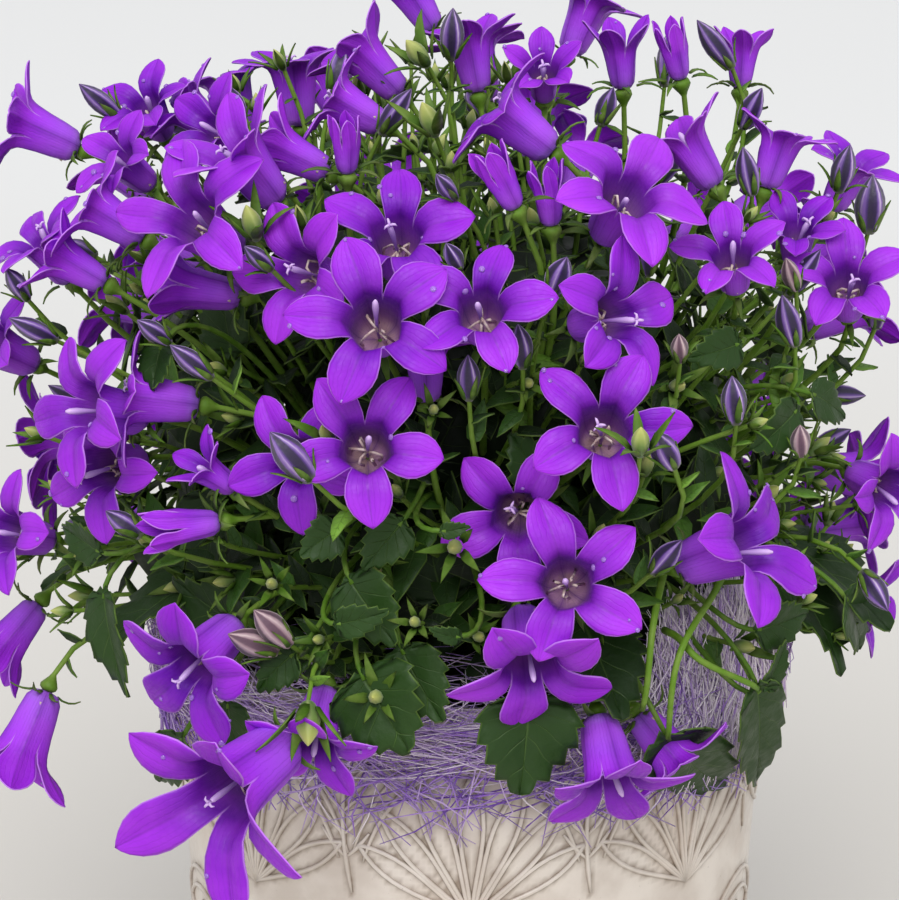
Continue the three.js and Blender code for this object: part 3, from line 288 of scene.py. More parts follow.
def bezier(start, leave, arrive, end, count):
    """Cubic curves from (m, 3) control points, as (m, count, 3) points."""
    t = np.linspace(0, 1, count)[None, :, None]
    points = [np.asarray(point, float)[:, None, :] for point in (start, leave, arrive, end)]
    weights = ((1 - t) ** 3, 3 * t * (1 - t) ** 2, 3 * t * t * (1 - t), t ** 3)
    return sum(weight * point for weight, point in zip(weights, points))


# The dome and sight lines

def dome_level(points, scale=1.0):
    away = (points - DOME_CENTRE) / scale
    reach = np.hypot(away[..., 0], away[..., 1]) / DOME_REACH
    rise = away[..., 2] / np.where(away[..., 2] > 0, DOME_RISE, DOME_DROP)
    return reach ** DOME_POWER + np.abs(rise) ** DOME_POWER


def dome_point(azimuth, elevation, scale=1.0):
    direction = polar(np.cos(elevation), azimuth, np.sin(elevation))
    size = dome_level(DOME_CENTRE + direction, scale) ** (-1 / DOME_POWER)
    return DOME_CENTRE + direction * np.asarray(size)[..., None]


def spiral_point(index, count, drop, turn, scale=1.0):
    """Points of a golden-angle spiral down the dome. A drop of 2 takes it from top to bottom."""
    height = 1 - drop * (index + 0.5) / count
    return dome_point(index * GOLDEN_ANGLE + turn, np.arcsin(height), scale)


def dome_facing(points):
    steps = 0.5 * np.eye(3)
    slope = [dome_level(points + step) - dome_level(points - step) for step in steps]
    return unit(np.stack(slope, -1))


def sight_direction(reading):
    right = (reading[0] - PICTURE_MIDDLE[0]) / FOCAL_PIXELS
    up = (PICTURE_MIDDLE[1] - reading[1]) / FOCAL_PIXELS
    cos, sin = math.cos(EYE_PITCH), math.sin(EYE_PITCH)
    return unit(np.array([right, cos + up * sin, up * cos - sin]))


def reading_of(points):
    """The column and row at which points are seen."""
    away = points - EYE
    cos, sin = math.cos(EYE_PITCH), math.sin(EYE_PITCH)
    depth = away[..., 1] * cos - away[..., 2] * sin
    rise = away[..., 1] * sin + away[..., 2] * cos
    return (PICTURE_MIDDLE[0] + FOCAL_PIXELS * away[..., 0] / depth,
            PICTURE_MIDDLE[1] - FOCAL_PIXELS * rise / depth)


def sight_distance(reading):
    """How far along a sight line it meets the dome, or passes nearest to it."""
    distances = np.arange(*SIGHT_REACH, SIGHT_STEP)
    levels = dome_level(EYE + distances[:, None] * sight_direction(reading))
    inside = np.flatnonzero(levels <= 1)
    return distances[inside[0] if len(inside) else np.argmin(levels)]


def sight_point(reading, sink):
    return EYE + sight_direction(reading) * (sight_distance(reading) + sink)


def sight_point_at(reading, origin, length):
    """The point of a sight line that lies the given length from a point, on its far side."""
    direction = sight_direction(reading)
    foot = EYE + direction * np.dot(origin - EYE, direction)
    rest = length ** 2 - np.sum((foot - origin) ** 2)
    point = foot + direction * math.sqrt(max(rest, 0))
    return origin + unit(point - origin) * length


# Where the blooms are

def placed_bloom(name, mouth, base, tip, span, opened, sink):
    middle = sight_point(mouth, sink)
    calyx = sight_point_at(base, middle, TUBE_LENGTH * span)
    facing = unit(middle - calyx)
    to_tip = sight_direction(tip)
    reach = np.dot(middle - EYE, facing) / np.dot(to_tip, facing)
    toward = EYE + to_tip * reach - middle
    return dict(name=name, calyx=calyx, middle=middle, facing=facing, toward=toward,
                span=span, opened=opened)


def bloom_at(middle, facing, toward, span, opened):
    """A bloom without a name, from where its mouth is."""
    return dict(calyx=middle - facing * TUBE_LENGTH * span, middle=middle, facing=facing,
                toward=toward, span=span, opened=opened)


def least_gap(middle, blooms):
    return min(np.linalg.norm(middle - other["middle"]) for other in blooms)


def spread_blooms(seen):
    """The blooms that are seen and, by the model's own draws, those on the sides and back."""
    random = seeded_random(11)
    blooms = list(seen)
    for index in range(SPREAD_SPRAYS):
        span = between(SPREAD_SPAN, next(random))
        depth = 1 - 0.08 * next(random)
        turn = TAU * next(random)
        first = spiral_point(index, SPREAD_SPRAYS, drop=1.4, turn=0, scale=depth)
        outward = dome_facing(first)
        aside = axes_of(outward, np.array([math.cos(turn), math.sin(turn), 1]))
        second = first + np.array([SPRAY_PITCH * span, 0, -0.16 * span]) @ aside
        spray = []
        for middle, opened in ((first, 0.95), (second, 0.8)):
            lean = np.array([next(random) - 0.5, next(random) - 0.5, next(random) - 0.4])
            facing = unit(dome_facing(middle) + 0.5 * lean)
            spray.append(bloom_at(middle, facing, np.array([lean[1], lean[0], 1]), span, opened))
        if np.dot(outward, unit(EYE - first)) > HIDDEN_FROM_EYE:
            continue
        if min(least_gap(bloom["middle"], blooms) for bloom in spray) < SPRAY_CLEARANCE:
            continue
        for bloom in spray:
            blooms.append(dict(bloom, name=f"r{len(blooms) - len(seen) + 1:02d}"))
    return blooms


def filling_blooms(blooms):
    """More single blooms in the gaps of the sides and the back."""
    random = np.random.default_rng(19)
    added = []
    for index in range(FILLING_TRIES):
        depth = 0.9 + 0.06 * random.random()
        middle = spiral_point(index, FILLING_TRIES, drop=1.3, turn=2.2, scale=depth)
        lean = random.random(3) - 0.5
        span = between(FILLING_SPAN, random.random())
        opened = 0.6 + 0.35 * random.random()
        if np.dot(dome_facing(middle), unit(EYE - middle)) > 0:
            continue
        if least_gap(middle, blooms + added) < FILLING_CLEARANCE:
            continue
        facing = unit(dome_facing(middle) + 0.5 * lean)
        bloom = bloom_at(middle, facing, lean + UP, span, opened)
        added.append(dict(bloom, name=f"s{len(added) + 1:02d}"))
    return added


# Meshes

def linked(name, data):
    """Makes an object and puts it in the scene."""
    made = bpy.data.objects.new(name, data)
    bpy.context.scene.collection.objects.link(made)
    return made


class Piece:
    """Gathers closed shells, with some numbers kept at each point, and makes one object."""

    def __init__(self, *marks):
        self.values = {mark: [] for mark in marks}
        self.points, self.quads, self.tris = [], [], []
        self.count = 0

    def add(self, shell, **values):
        points, quads, tris = shell
        self.points.append(points)
        self.quads.append(quads + self.count)
        self.tris.append(tris + self.count)
        for mark, kept in self.values.items():
            kept.append(np.broadcast_to(values.get(mark, 0.0), len(points)))
        self.count += len(points)

    def build(self, name, material, replaced=()):
        quads, tris = np.concatenate(self.quads), np.concatenate(self.tris)
        corners = np.concatenate([quads.ravel(), tris.ravel()]).astype(np.int32)
        starts = np.concatenate([np.arange(len(quads)) * 4, 4 * len(quads) + np.arange(len(tris)) * 3])
        mesh = bpy.data.meshes.new(name)
        mesh.vertices.add(self.count)
        mesh.vertices.foreach_set("co", (np.concatenate(self.points) * MM).astype(np.float32).ravel())
        mesh.loops.add(len(corners))
        mesh.loops.foreach_set("vertex_index", corners)
        mesh.polygons.add(len(starts))
        mesh.polygons.foreach_set("loop_start", starts.astype(np.int32))
        mesh.polygons.foreach_set("use_smooth", np.ones(len(starts), bool))
        mesh.update(calc_edges=True)
        for mark, kept in self.values.items():
            attribute = mesh.attributes.new(mark, "FLOAT", "POINT")
            attribute.data.foreach_set("value", np.concatenate(kept).astype(np.float32))
        mesh.materials.append(material)
        piece = linked(name, mesh)
        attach(piece, "root")
        if replaced:
            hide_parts(*replaced)


NO_TRIS = np.zeros((0, 3), int)


def grid_quads(rows, columns, copies=1, wrap=False):
    """Faces of grids whose points run along their columns first."""
    row, column = np.meshgrid(np.arange(rows - 1), np.arange(columns - (not wrap)), indexing="ij")
    ahead = (column + 1) % columns
    faces = np.stack([row * columns + column, row * columns + ahead,
                      (row + 1) * columns + ahead, (row + 1) * columns + column], -1).reshape(-1, 4)
    return (faces[None] + (np.arange(copies) * rows * columns)[:, None, None]).reshape(-1, 4)


def open_edges(quads, tris):
    edges = [faces[:, [side, (side + 1) % faces.shape[1]]]
             for faces in (quads, tris) for side in range(faces.shape[1])]
    edges = np.concatenate(edges)
    size = edges.max() + 1
    is_shared = np.isin(edges[:, 0] * size + edges[:, 1], edges[:, 1] * size + edges[:, 0])
    return edges[~is_shared]


def point_normals(points, quads, tris):
    total = np.zeros_like(points)
    for faces in (quads, tris):
        corner = points[faces]
        last = -1 if faces.shape[1] == 4 else 2
        normal = np.cross(corner[:, 2] - corner[:, 0], corner[:, last] - corner[:, 1])
        for side in range(faces.shape[1]):
            np.add.at(total, faces[:, side], normal)
    length = np.linalg.norm(total, axis=1, keepdims=True)
    return total / np.maximum(length, 1e-9)


def closed_shell(sheet, quads, tris, depth):
    """A sheet made solid: its own points first, then the ones in front of its faces."""
    count = len(sheet)
    front = sheet + point_normals(sheet, quads, tris) * depth
    rim = open_edges(quads, tris)
    sides = np.stack([rim[:, 1] + count, rim[:, 0] + count, rim[:, 0], rim[:, 1]], -1)
    quads = np.concatenate([quads + count, quads[:, ::-1], sides])
    tris = np.concatenate([tris + count, tris[:, ::-1]])
    return np.concatenate([sheet, front]), quads, tris


def end_faces(sides, last, turned=False):
    """Fans over a tube's first ring and over its last, whose points start at last."""
    fan = np.array([[0, corner + 1, corner] for corner in range(1, sides - 1)])
    if turned:
        fan = fan[:, [0, 2, 1]]
    return np.concatenate([fan, fan[:, ::-1] + last])


def sweep(paths, radii, sides):
    """Closed tubes along (m, n, 3) paths; radii are (m, n) or (m, n, sides)."""
    copies, count = paths.shape[:2]
    along = unit(np.gradient(paths, axis=1))
    least = np.eye(3)[np.argmin(np.abs(along.mean(axis=1)), axis=1)]
    side = np.empty_like(along)
    side[:, 0] = unit(np.cross(along[:, 0], least))
    for station in range(1, count):
        carried = side[:, station - 1]
        away = np.sum(carried * along[:, station], axis=1, keepdims=True)
        side[:, station] = unit(carried - away * along[:, station])
    up = np.cross(along, side)
    angle = np.arange(sides) * TAU / sides
    ring = np.cos(angle)[:, None] * side[:, :, None] + np.sin(angle)[:, None] * up[:, :, None]
    radii = np.broadcast_to(radii, (copies, count)) if np.ndim(radii) < 3 else radii
    radii = radii[..., None] if radii.ndim == 2 else radii
    points = paths[:, :, None] + ring * radii[..., None]
    quads = grid_quads(count, sides, copies, wrap=True)
    ends = end_faces(sides, (count - 1) * sides)
    tris = (ends[None] + (np.arange(copies) * count * sides)[:, None, None]).reshape(-1, 3)
    return points.reshape(-1, 3), quads, tris


def repeated(values, points_each):
    return np.repeat(np.asarray(values, float), points_each)


# Materials

def linear(red, green, blue):
    """A display colour from 0 to 255 as the linear colour that shaders take."""
    shares = [channel / 255 for channel in (red, green, blue)]
    return [s / 12.92 if s <= 0.04045 else ((s + 0.055) / 1.055) ** 2.4 for s in shares] + [1]


class Finish:
    """A node material round one Principled shader."""

    def __init__(self, name, **constants):
        self.material = bpy.data.materials.new(name)
        self.material.use_nodes = True
        self.tree = self.material.node_tree
        self.shader = self.tree.nodes["Principled BSDF"]
        for label, value in constants.items():
            self.shader.inputs[label.replace("_", " ")].default_value = value
        self.place = self.node("ShaderNodeTexCoord").outputs["Object"]

    def node(self, kind, settings=None, **inputs):
        node = self.tree.nodes.new(kind)
        for label, value in (settings or {}).items():
            setattr(node, label, value)
        for label, value in inputs.items():
            self.put(node.inputs[label.replace("_", " ")], value)
        return node

    def put(self, socket, value):
        if isinstance(value, bpy.types.NodeSocket):
            self.tree.links.new(value, socket)
        else:
            socket.default_value = value

    def mark(self, name):
        return self.node("ShaderNodeAttribute", {"attribute_name": name}).outputs["Fac"]

    def noise(self, scale, detail, stretch=None):
        place = self.place
        if stretch:
            place = self.node("ShaderNodeMapping", Vector=place, Scale=stretch).outputs[0]
        return self.node("ShaderNodeTexNoise", Vector=place, Scale=scale, Detail=detail).outputs["Fac"]

    def sum(self, operation, one, other=0.5):
        node = self.node("ShaderNodeMath", {"operation": operation})
        self.put(node.inputs[0], one)
        self.put(node.inputs[1], other)
        return node.outputs[0]

    def span(self, value, low, high, to_low=0.0, to_high=1.0):
        """A value's stretch from low to high, carried smoothly to another stretch."""
        return self.node("ShaderNodeMapRange", {"interpolation_type": "SMOOTHSTEP"}, Value=value,
                         From_Min=low, From_Max=high, To_Min=to_low, To_Max=to_high).outputs[0]

    def ramp(self, value, *stops):
        node = self.node("ShaderNodeValToRGB", Fac=value)
        elements = node.color_ramp.elements
        while len(elements) < len(stops):
            elements.new(0.5)
        for element, (position, colour) in zip(elements, stops):
            element.position = position
            element.color = linear(*colour)
        return node.outputs["Color"]

    def mix(self, factor, one, other, blend="MIX"):
        node = self.node("ShaderNodeMix", {"data_type": "RGBA", "blend_type": blend})
        colours = [linear(*colour) if isinstance(colour, tuple) else colour for colour in (one, other)]
        self.put(node.inputs["Factor"], factor)
        self.put(node.inputs[6], colours[0])
        self.put(node.inputs[7], colours[1])
        return node.outputs[2]

    def over(self, colour, tone, place, strength):
        """Lays a tone over a colour where a place is marked, at some strength."""
        return self.mix(self.sum("MULTIPLY", place, strength), colour, tone)

    def rough(self, fine, smoothest, roughest):
        """Roughness that follows a noise, most of which lies round the middle of its range."""
        return self.span(fine, 0.3, 0.7, smoothest, roughest)

    def grained(self, colour, scale, detail, smoothest, roughest, depth):
        """Ends a material whose roughness and bumps follow one fine noise."""
        fine = self.noise(scale, detail)
        return self.done(colour, self.rough(fine, smoothest, roughest), fine, depth)

    def done(self, colour, roughness, height=None, depth=0.0):
        self.put(self.shader.inputs["Base Color"], colour)
        self.put(self.shader.inputs["Roughness"], roughness)
        if height is not None:
            bump = self.node("ShaderNodeBump", Height=height, Distance=depth, Strength=1.0)
            self.put(self.shader.inputs["Normal"], bump.outputs[0])
        return self.material


def petal_finish():
    finish = Finish("petal", Specular_IOR_Level=0.25)
    along, across, inner = finish.mark("along"), finish.mark("across"), finish.mark("inner")
    # The inner face from the tube's foot to the tips: a pale throat, then dark violet at the mouth and
    # the petals' bases, which is partly the flower's own colour and partly painted shade.
    inside = finish.ramp(along, (0, (214, 184, 164)), (0.035, (204, 170, 172)), (0.09, (176, 134, 172)),
                         (0.22, (146, 100, 168)), (0.38, (112, 54, 156)), (0.5, (88, 14, 146)),
                         (0.6, (102, 8, 166)), (0.78, (140, 20, 204)), (1, (160, 38, 220)))
    outside = finish.ramp(along, (0, (156, 112, 212)), (0.12, (160, 82, 224)), (0.45, (154, 50, 222)),
                          (0.6, (148, 32, 212)), (1, (154, 36, 216)))
    colour = finish.mix(inner, outside, inside)
    colour = finish.over(colour, (72, 10, 118), finish.span(across, 0.0, 0.1, 1, 0), 0.45)
    # Painted shade in the hollow at each petal's base, deepest along its middle line.
    hollow_shade = finish.span(across, 0.0, 0.6, 0.38, 0)
    hollow_shade = finish.sum("MULTIPLY", hollow_shade, finish.span(along, 0.55, 0.82, 1, 0))
    colour = finish.mix(hollow_shade, colour, (70, 8, 122))
    wander = finish.noise(420, 2)
    lanes = finish.sum("ADD", finish.sum("MULTIPLY", across, 26), finish.sum("MULTIPLY", wander, 5))
    vein = finish.span(finish.sum("SINE", lanes), 0.55, 1.0)
    colour = finish.over(colour, (96, 22, 150), vein, 0.16)
    colour = finish.over(colour, (174, 64, 226), finish.span(finish.noise(160, 3), 0.38, 0.66), 0.26)
    tinted = finish.mix(finish.mark("tint"), (92, 12, 158), (178, 66, 224))
    colour = finish.mix(finish.span(along, 0.42, 0.62, 0.05, 0.28), colour, tinted)
    colour = finish.over(colour, (212, 156, 240), finish.span(across, 0.92, 1.0), 0.5)
    height = finish.sum("ADD", finish.sum("MULTIPLY", vein, -0.5), finish.noise(1400, 2))
    return finish.done(colour, finish.rough(finish.noise(900, 2), 0.42, 0.6), height, 0.00007)


def leaf_finish():
    finish = Finish("leaf", Specular_IOR_Level=0.26)
    along, across = finish.mark("along"), finish.mark("across")
    # Darker greens for lower tints. Leaves deeper in the bush are given lower tints, so their darkness
    # is painted shade.
    colour = finish.ramp(finish.mark("tint"), (0, (10, 22, 6)), (0.35, (24, 46, 13)),
                         (0.7, (56, 94, 28)), (1, (108, 150, 50)))
    colour = finish.over(colour, (40, 62, 34), finish.span(finish.noise(110, 4), 0.4, 0.65), 0.25)
    bend = finish.sum("MULTIPLY", finish.noise(150, 1), 0.6)
    course = finish.sum("ADD", finish.sum("MULTIPLY", along, 6.5), bend)
    branch = finish.span(finish.sum("PINGPONG", course, 0.5), 0.0, 0.055, 1, 0)
    line = finish.sum("MULTIPLY", branch, finish.span(across, 0.3, 1, 0.9, 0.1))
    vein = finish.sum("MAXIMUM", line, finish.span(across, 0.0, 0.06, 1, 0))
    colour = finish.over(colour, (104, 134, 66), vein, 0.26)
    under = finish.span(finish.mark("upper"), 0, 1, 0.35, 0)
    colour = finish.mix(under, colour, (96, 120, 72))
    colour = finish.over(colour, (120, 150, 56), finish.span(across, 0.955, 1.0), 0.3)
    height = finish.sum("SUBTRACT", finish.noise(700, 3), vein)
    return finish.done(colour, finish.rough(finish.noise(300, 2), 0.42, 0.62), height, 0.00016)


def stem_finish():
    finish = Finish("stem", Specular_IOR_Level=0.25)
    # Darker towards a stalk's root, which lies deep in the bush: painted shade.
    colour = finish.ramp(finish.mark("along"), (0, (20, 34, 10)), (0.45, (56, 88, 20)),
                         (0.8, (92, 132, 30)), (1, (110, 146, 48)))
    colour = finish.over(colour, (138, 158, 78), finish.span(finish.noise(260, 3), 0.42, 0.64), 0.3)
    colour = finish.over(colour, (78, 52, 58), finish.mark("brown"), 0.75)
    return finish.grained(colour, 900, 3, 0.45, 0.65, 0.0001)


def bud_finish():
    finish = Finish("bud", Sheen_Weight=0.2)
    along, ridge = finish.mark("along"), finish.mark("ridge")
    grown = finish.ramp(ridge, (0, (30, 14, 54)), (0.25, (62, 32, 104)), (0.6, (122, 88, 162)),
                        (1, (204, 184, 214)))
    grown = finish.mix(finish.span(along, 0.0, 0.16, 0.9, 0), grown, (92, 104, 62))
    grown = finish.mix(finish.span(along, 0.86, 1.0, 0, 0.5), grown, (72, 40, 98))
    green = finish.ramp(along, (0, (66, 98, 40)), (0.5, (110, 136, 66)), (1, (176, 178, 92)))
    green = finish.over(green, (186, 192, 122), ridge, 0.4)
    colour = finish.mix(finish.mark("young"), grown, green)
    pale = finish.ramp(ridge, (0, (92, 62, 78)), (0.3, (150, 120, 124)), (1, (198, 178, 168)))
    colour = finish.over(colour, pale, finish.mark("pink"), 0.85)
    return finish.grained(colour, 1100, 3, 0.42, 0.6, 0.00008)


def heart_finish():
    """The style, which is pale lilac, and the dried stamens round its foot."""
    finish = Finish("heart")
    style = finish.ramp(finish.mark("along"), (0, (120, 78, 150)), (0.6, (160, 112, 196)),
                        (1, (206, 172, 226)))
    dried = finish.ramp(finish.noise(900, 3), (0.35, (176, 148, 140)), (0.7, (226, 210, 198)))
    colour = finish.mix(finish.mark("dried"), style, dried)
    return finish.grained(colour, 1500, 2, 0.35, 0.6, 0.00006)


def sisal_finish():
    finish = Finish("sisal", Sheen_Weight=0.3, Sheen_Roughness=0.4)
    colour = finish.ramp(finish.mark("tint"), (0, (108, 60, 168)), (0.4, (158, 112, 212)),
                         (0.75, (212, 184, 234)), (1, (255, 246, 252)))
    streak = finish.span(finish.noise(500, 4, (1, 1, 0.3)), 0.4, 0.65)
    colour = finish.over(colour, (208, 190, 218), streak, 0.3)
    return finish.grained(colour, 2200, 2, 0.5, 0.75, 0.00008)


def glaze_finish():
    """Cream glaze, blotched and specked, with brown patina and painted shade beside the relief."""
    finish = Finish("glaze", Coat_Weight=0.35, Coat_Roughness=0.22)
    wash = finish.mark("wash")
    mottle = finish.span(finish.noise(60, 5), 0.38, 0.66)
    colour = finish.mix(mottle, (222, 213, 203), (202, 191, 180))
    colour = finish.over(colour, (214, 190, 172), finish.span(finish.noise(24, 3), 0.48, 0.72), 0.4)
    patchy_patina_and_shade = finish.sum("MULTIPLY", wash, finish.span(finish.noise(220, 3), 0.3, 0.6, 0.45, 1.0))
    # The brown beside the raised lines is partly the glaze's own patina and partly painted shade.
    colour = finish.over(colour, (124, 104, 84), patchy_patina_and_shade, 0.9)
    colour = finish.over(colour, (132, 116, 104), finish.span(finish.noise(1300, 2), 0.7, 0.78), 0.3)
    return finish.grained(colour, 420, 4, 0.3, 0.5, 0.00012)


def soil_finish():
    finish = Finish("soil")
    colour = finish.ramp(finish.noise(500, 5), (0.3, (30, 21, 15)), (0.55, (62, 44, 32)),
                         (0.75, (108, 84, 62)))
    return finish.done(colour, 0.95, finish.noise(340, 5), 0.002)


def plastic_finish():
    finish = Finish("plastic", Specular_IOR_Level=0.4)
    fine = finish.noise(800, 3)
    colour = finish.mix(finish.span(fine, 0.35, 0.65), (112, 66, 46), (128, 78, 56))
    return finish.done(colour, finish.rough(fine, 0.5, 0.7), fine, 0.00008)


def water_finish():
    finish = Finish("water", IOR=1.33, Transmission_Weight=0.55)
    # A pale lilac body colour on clear water: painted light that makes the drops read as lit beads.
    painted_light_tint = finish.mix(finish.noise(300, 2), (206, 160, 246), (188, 132, 238))
    return finish.done(painted_light_tint, 0.03)


def floor_finish():
    finish = Finish("floor")
    # The floor is darker in front and near the pot and lighter far behind: painted shade.
    depth = finish.node("ShaderNodeSeparateXYZ", Vector=finish.place).outputs["Y"]
    depth = finish.sum("ADD", depth, finish.sum("MULTIPLY", finish.noise(1.5, 2), 0.05))
    colour = finish.mix(finish.span(depth, -0.1, 1.5), (208, 204, 197), (232, 232, 231))
    return finish.done(colour, 0.9)


# Blooms

ACROSS = np.array([-1, -0.84, -0.5, -0.15, 0, 0.15, 0.5, 0.84, 1])
TUBE_HEIGHTS = np.array([0, 0.04, 0.16, 0.42, 0.74, 1])
TUBE_RADII = np.array([0.012, 0.085, 0.118, 0.134, 0.145, THROAT_RADIUS])
PETAL_STATIONS = np.array([0.09, 0.21, 0.35, 0.5, 0.64, 0.77, 0.88, 0.95])
PETAL_WIDTH_AT = (0, 0.12, 0.25, 0.4, 0.55, 0.7, 0.8, 0.88, 0.94, 0.98, 1)
PETAL_HALF_WIDTHS = (0.1005, 0.106, 0.124, 0.142, 0.144, 0.127, 0.1, 0.068, 0.037, 0.013, 0)
PETAL_DEPTH = 0.28
FIRST_BLOOM_SEED = 500
ALIKE = (1,) * LOBES
CREASE = 0.35
CREASE_WIDTH = 0.14
RIB = 0.04
BEND_STEPS = 41
TUBE_COLUMNS = LOBES * (len(ACROSS) - 1)
TUBE_POINTS = len(TUBE_HEIGHTS) * TUBE_COLUMNS


def bloom_faces():
    columns, wide = TUBE_COLUMNS, len(ACROSS)
    rings, stations = len(TUBE_HEIGHTS), len(PETAL_STATIONS)
    quads = [grid_quads(rings, columns, wrap=True)]
    tris = []
    for lobe in range(LOBES):
        mouth = (rings - 1) * columns + (lobe * (wide - 1) + np.arange(wide)) % columns
        first = rings * columns + lobe * stations * wide
        rows = np.concatenate([mouth[None], first + np.arange(stations * wide).reshape(stations, wide)])
        faces = np.stack([rows[:-1, :-1], rows[:-1, 1:], rows[1:, 1:], rows[1:, :-1]], -1)
        quads.append(faces.reshape(-1, 4))
        tip = rings * columns + LOBES * stations * wide + lobe
        tris.append(np.stack([rows[-1, :-1], rows[-1, 1:], np.full(wide - 1, tip)], -1))
    return np.concatenate(quads), np.concatenate(tris)


BLOOM_QUADS, BLOOM_TRIS = bloom_faces()


def bloom_marks():
    """How far each point lies from a lobe's middle line, and how far along the bloom."""
    wide, stations = len(ACROSS), len(PETAL_STATIONS)
    across = [np.tile(np.abs(ACROSS[:-1]), LOBES * len(TUBE_HEIGHTS)),
              np.tile(np.abs(ACROSS), LOBES * stations), np.ones(LOBES)]
    along = [np.repeat(0.5 * TUBE_HEIGHTS, TUBE_COLUMNS),
             np.tile(np.repeat(0.5 + 0.5 * PETAL_STATIONS, wide), LOBES), np.ones(LOBES)]
    across = np.concatenate(across)
    in_tube = np.arange(len(across)) < TUBE_POINTS - TUBE_COLUMNS
    return np.where(in_tube, np.minimum(across, 0.9), across), np.concatenate(along)


def petal(lobe, bloom, random):
    """Points of one petal, station by station, and its tip last."""
    angle = lobe * TAU / LOBES
    span, spread = bloom["span"], 0.5 * math.pi * bloom["opened"]
    wider = bloom.get("wider", 1) * (1 + 0.05 * random.standard_normal())
    length = PETAL_LENGTH * span * bloom.get("lengths", ALIKE)[lobe]
    length = length * (1 + 0.03 * random.standard_normal())
    start = min(0.25, 0.6 * spread)
    end = 1.05 * spread + 0.09 * random.standard_normal()
    curl = (0.1 + 0.22 * random.random()) * bloom["opened"]
    twist, phase = 0.16 * random.standard_normal(), TAU * random.random()
    sway = 0.035 * span * random.standard_normal()
    t = np.linspace(0, 1, BEND_STEPS)
    lean = start + (end - start) * smooth(t / 0.42) + curl * t ** 3
    step = length / (len(t) - 1)
    run = [np.concatenate([[0], np.cumsum((part[1:] + part[:-1]) / 2)]) * step
           for part in (np.sin(lean), np.cos(lean))]
    stations = np.append(PETAL_STATIONS, 1)[:, None]
    radius = THROAT_RADIUS * span + np.interp(stations, t, run[0])
    height = TUBE_LENGTH * span + np.interp(stations, t, run[1])
    lean = np.interp(stations, t, lean)
    half = np.interp(stations, PETAL_WIDTH_AT, PETAL_HALF_WIDTHS) * span
    half = half * (1 + (wider - 1) * smooth(stations / 0.3))
    flat = smooth(stations / 0.45)
    u = ACROSS[None, :]
    crease = -CREASE * np.exp(-((u / CREASE_WIDTH) ** 2)) * (1 - 0.4 * stations)
    lift = half * (0.26 * np.abs(u) ** 1.4 - 0.16 * u ** 4) * (1 - 0.4 * stations)
    lift = lift + 0.06 * half * np.sin(math.pi * np.abs(u))
    lift = lift + 0.09 * half * u * u * np.sin(phase + 5 * stations + 1.2 * u)
    aside = u * half * np.cos(twist * stations) + sway * stations ** 2
    lift = lift + crease + u * half * np.sin(twist * stations)
    sheet = np.stack([radius - np.cos(lean) * lift, aside, height + np.sin(lean) * lift], -1)
    arc_radius = radius * (1 + RIB * np.cos(math.pi * u)) - crease
    arc = polar(arc_radius, u * half / radius, height + 0 * u)
    points = arc + (sheet - arc) * flat[..., None]
    turned = points @ np.array([[math.cos(angle), math.sin(angle), 0],
                                [-math.sin(angle), math.cos(angle), 0], [0, 0, 1]])
    return turned[:-1].reshape(-1, 3), turned[-1, len(ACROSS) // 2]


def bloom_shell(bloom, random):
    span = bloom["span"]
    angle = (np.arange(LOBES)[:, None] * TAU / LOBES + ACROSS[None, :-1] * math.pi / LOBES).ravel()
    crease = CREASE * np.exp(-((np.tile(ACROSS[:-1], LOBES) / CREASE_WIDTH) ** 2))
    rows = TUBE_RADII[:, None] * span * (1 + RIB * TUBE_HEIGHTS[:, None] * np.cos(LOBES * angle))
    rows = rows + crease * TUBE_HEIGHTS[:, None]
    tube = polar(rows, angle, TUBE_HEIGHTS[:, None] * TUBE_LENGTH * span)
    petals, tips = zip(*(petal(lobe, bloom, random) for lobe in range(LOBES)))
    sheet = np.concatenate([tube.reshape(-1, 3), *petals, np.stack(tips)])
    return closed_shell(sheet, BLOOM_QUADS, BLOOM_TRIS, PETAL_DEPTH)


def bloom_axes(bloom):
    return axes_of(bloom["facing"], bloom["toward"])


def on_bloom(shell, bloom):
    """Carries a shell from a bloom's own frame, whose z runs from calyx to mouth, to the part's."""
    points, quads, tris = shell
    return bloom["calyx"] + points @ bloom_axes(bloom), quads, tris


def numbered_bloom(number, bloom):
    """A bloom's shell, shaped by draws that its number alone settles, and these draws."""
    random = np.random.default_rng(FIRST_BLOOM_SEED + number)
    return on_bloom(bloom_shell(bloom, random), bloom), random


def make_blooms(blooms, material):
    across, along = bloom_marks()
    in_lobe = len(PETAL_STATIONS) * len(ACROSS)
    for number, bloom in enumerate(blooms):
        piece = Piece("across", "along", "inner", "tint")
        shell, random = numbered_bloom(number, bloom)
        lobes = np.clip(random.random() + 0.7 * (random.random(LOBES) - 0.5), 0, 1)
        tint = np.concatenate([np.full(TUBE_POINTS, lobes.mean()), np.repeat(lobes, in_lobe), lobes])
        piece.add(shell, across=np.tile(across, 2), along=np.tile(along, 2),
                  inner=np.repeat([1.0, 0.0], len(across)), tint=np.tile(tint, 2))
        node = "bloom_" + bloom["name"]
        piece.build("flower_" + bloom["name"], material,
                    [node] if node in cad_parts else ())


# The style, as shares of its height and its radii there, an arm of its stigma, and stamens.
STYLE_SHARES = np.array([0, 0.3, 0.55, 0.72, 0.86, 0.95, 1])
STYLE_RADII = np.array([[0.3, 0.32, 0.38, 0.52, 0.7, 0.6, 0.22]])
OPEN_STIGMAS = 0.5
ARMS = 3
ARM_REACH = np.array([0, 0.5, 1.1, 1.5])
ARM_RISE = np.array([-0.3, 0.5, 0.7, 0.3])
ARM_RADII = (0.34, 0.32, 0.26, 0.12)
STAMEN_RADIUS = 0.32
STAMEN_STATIONS = 5


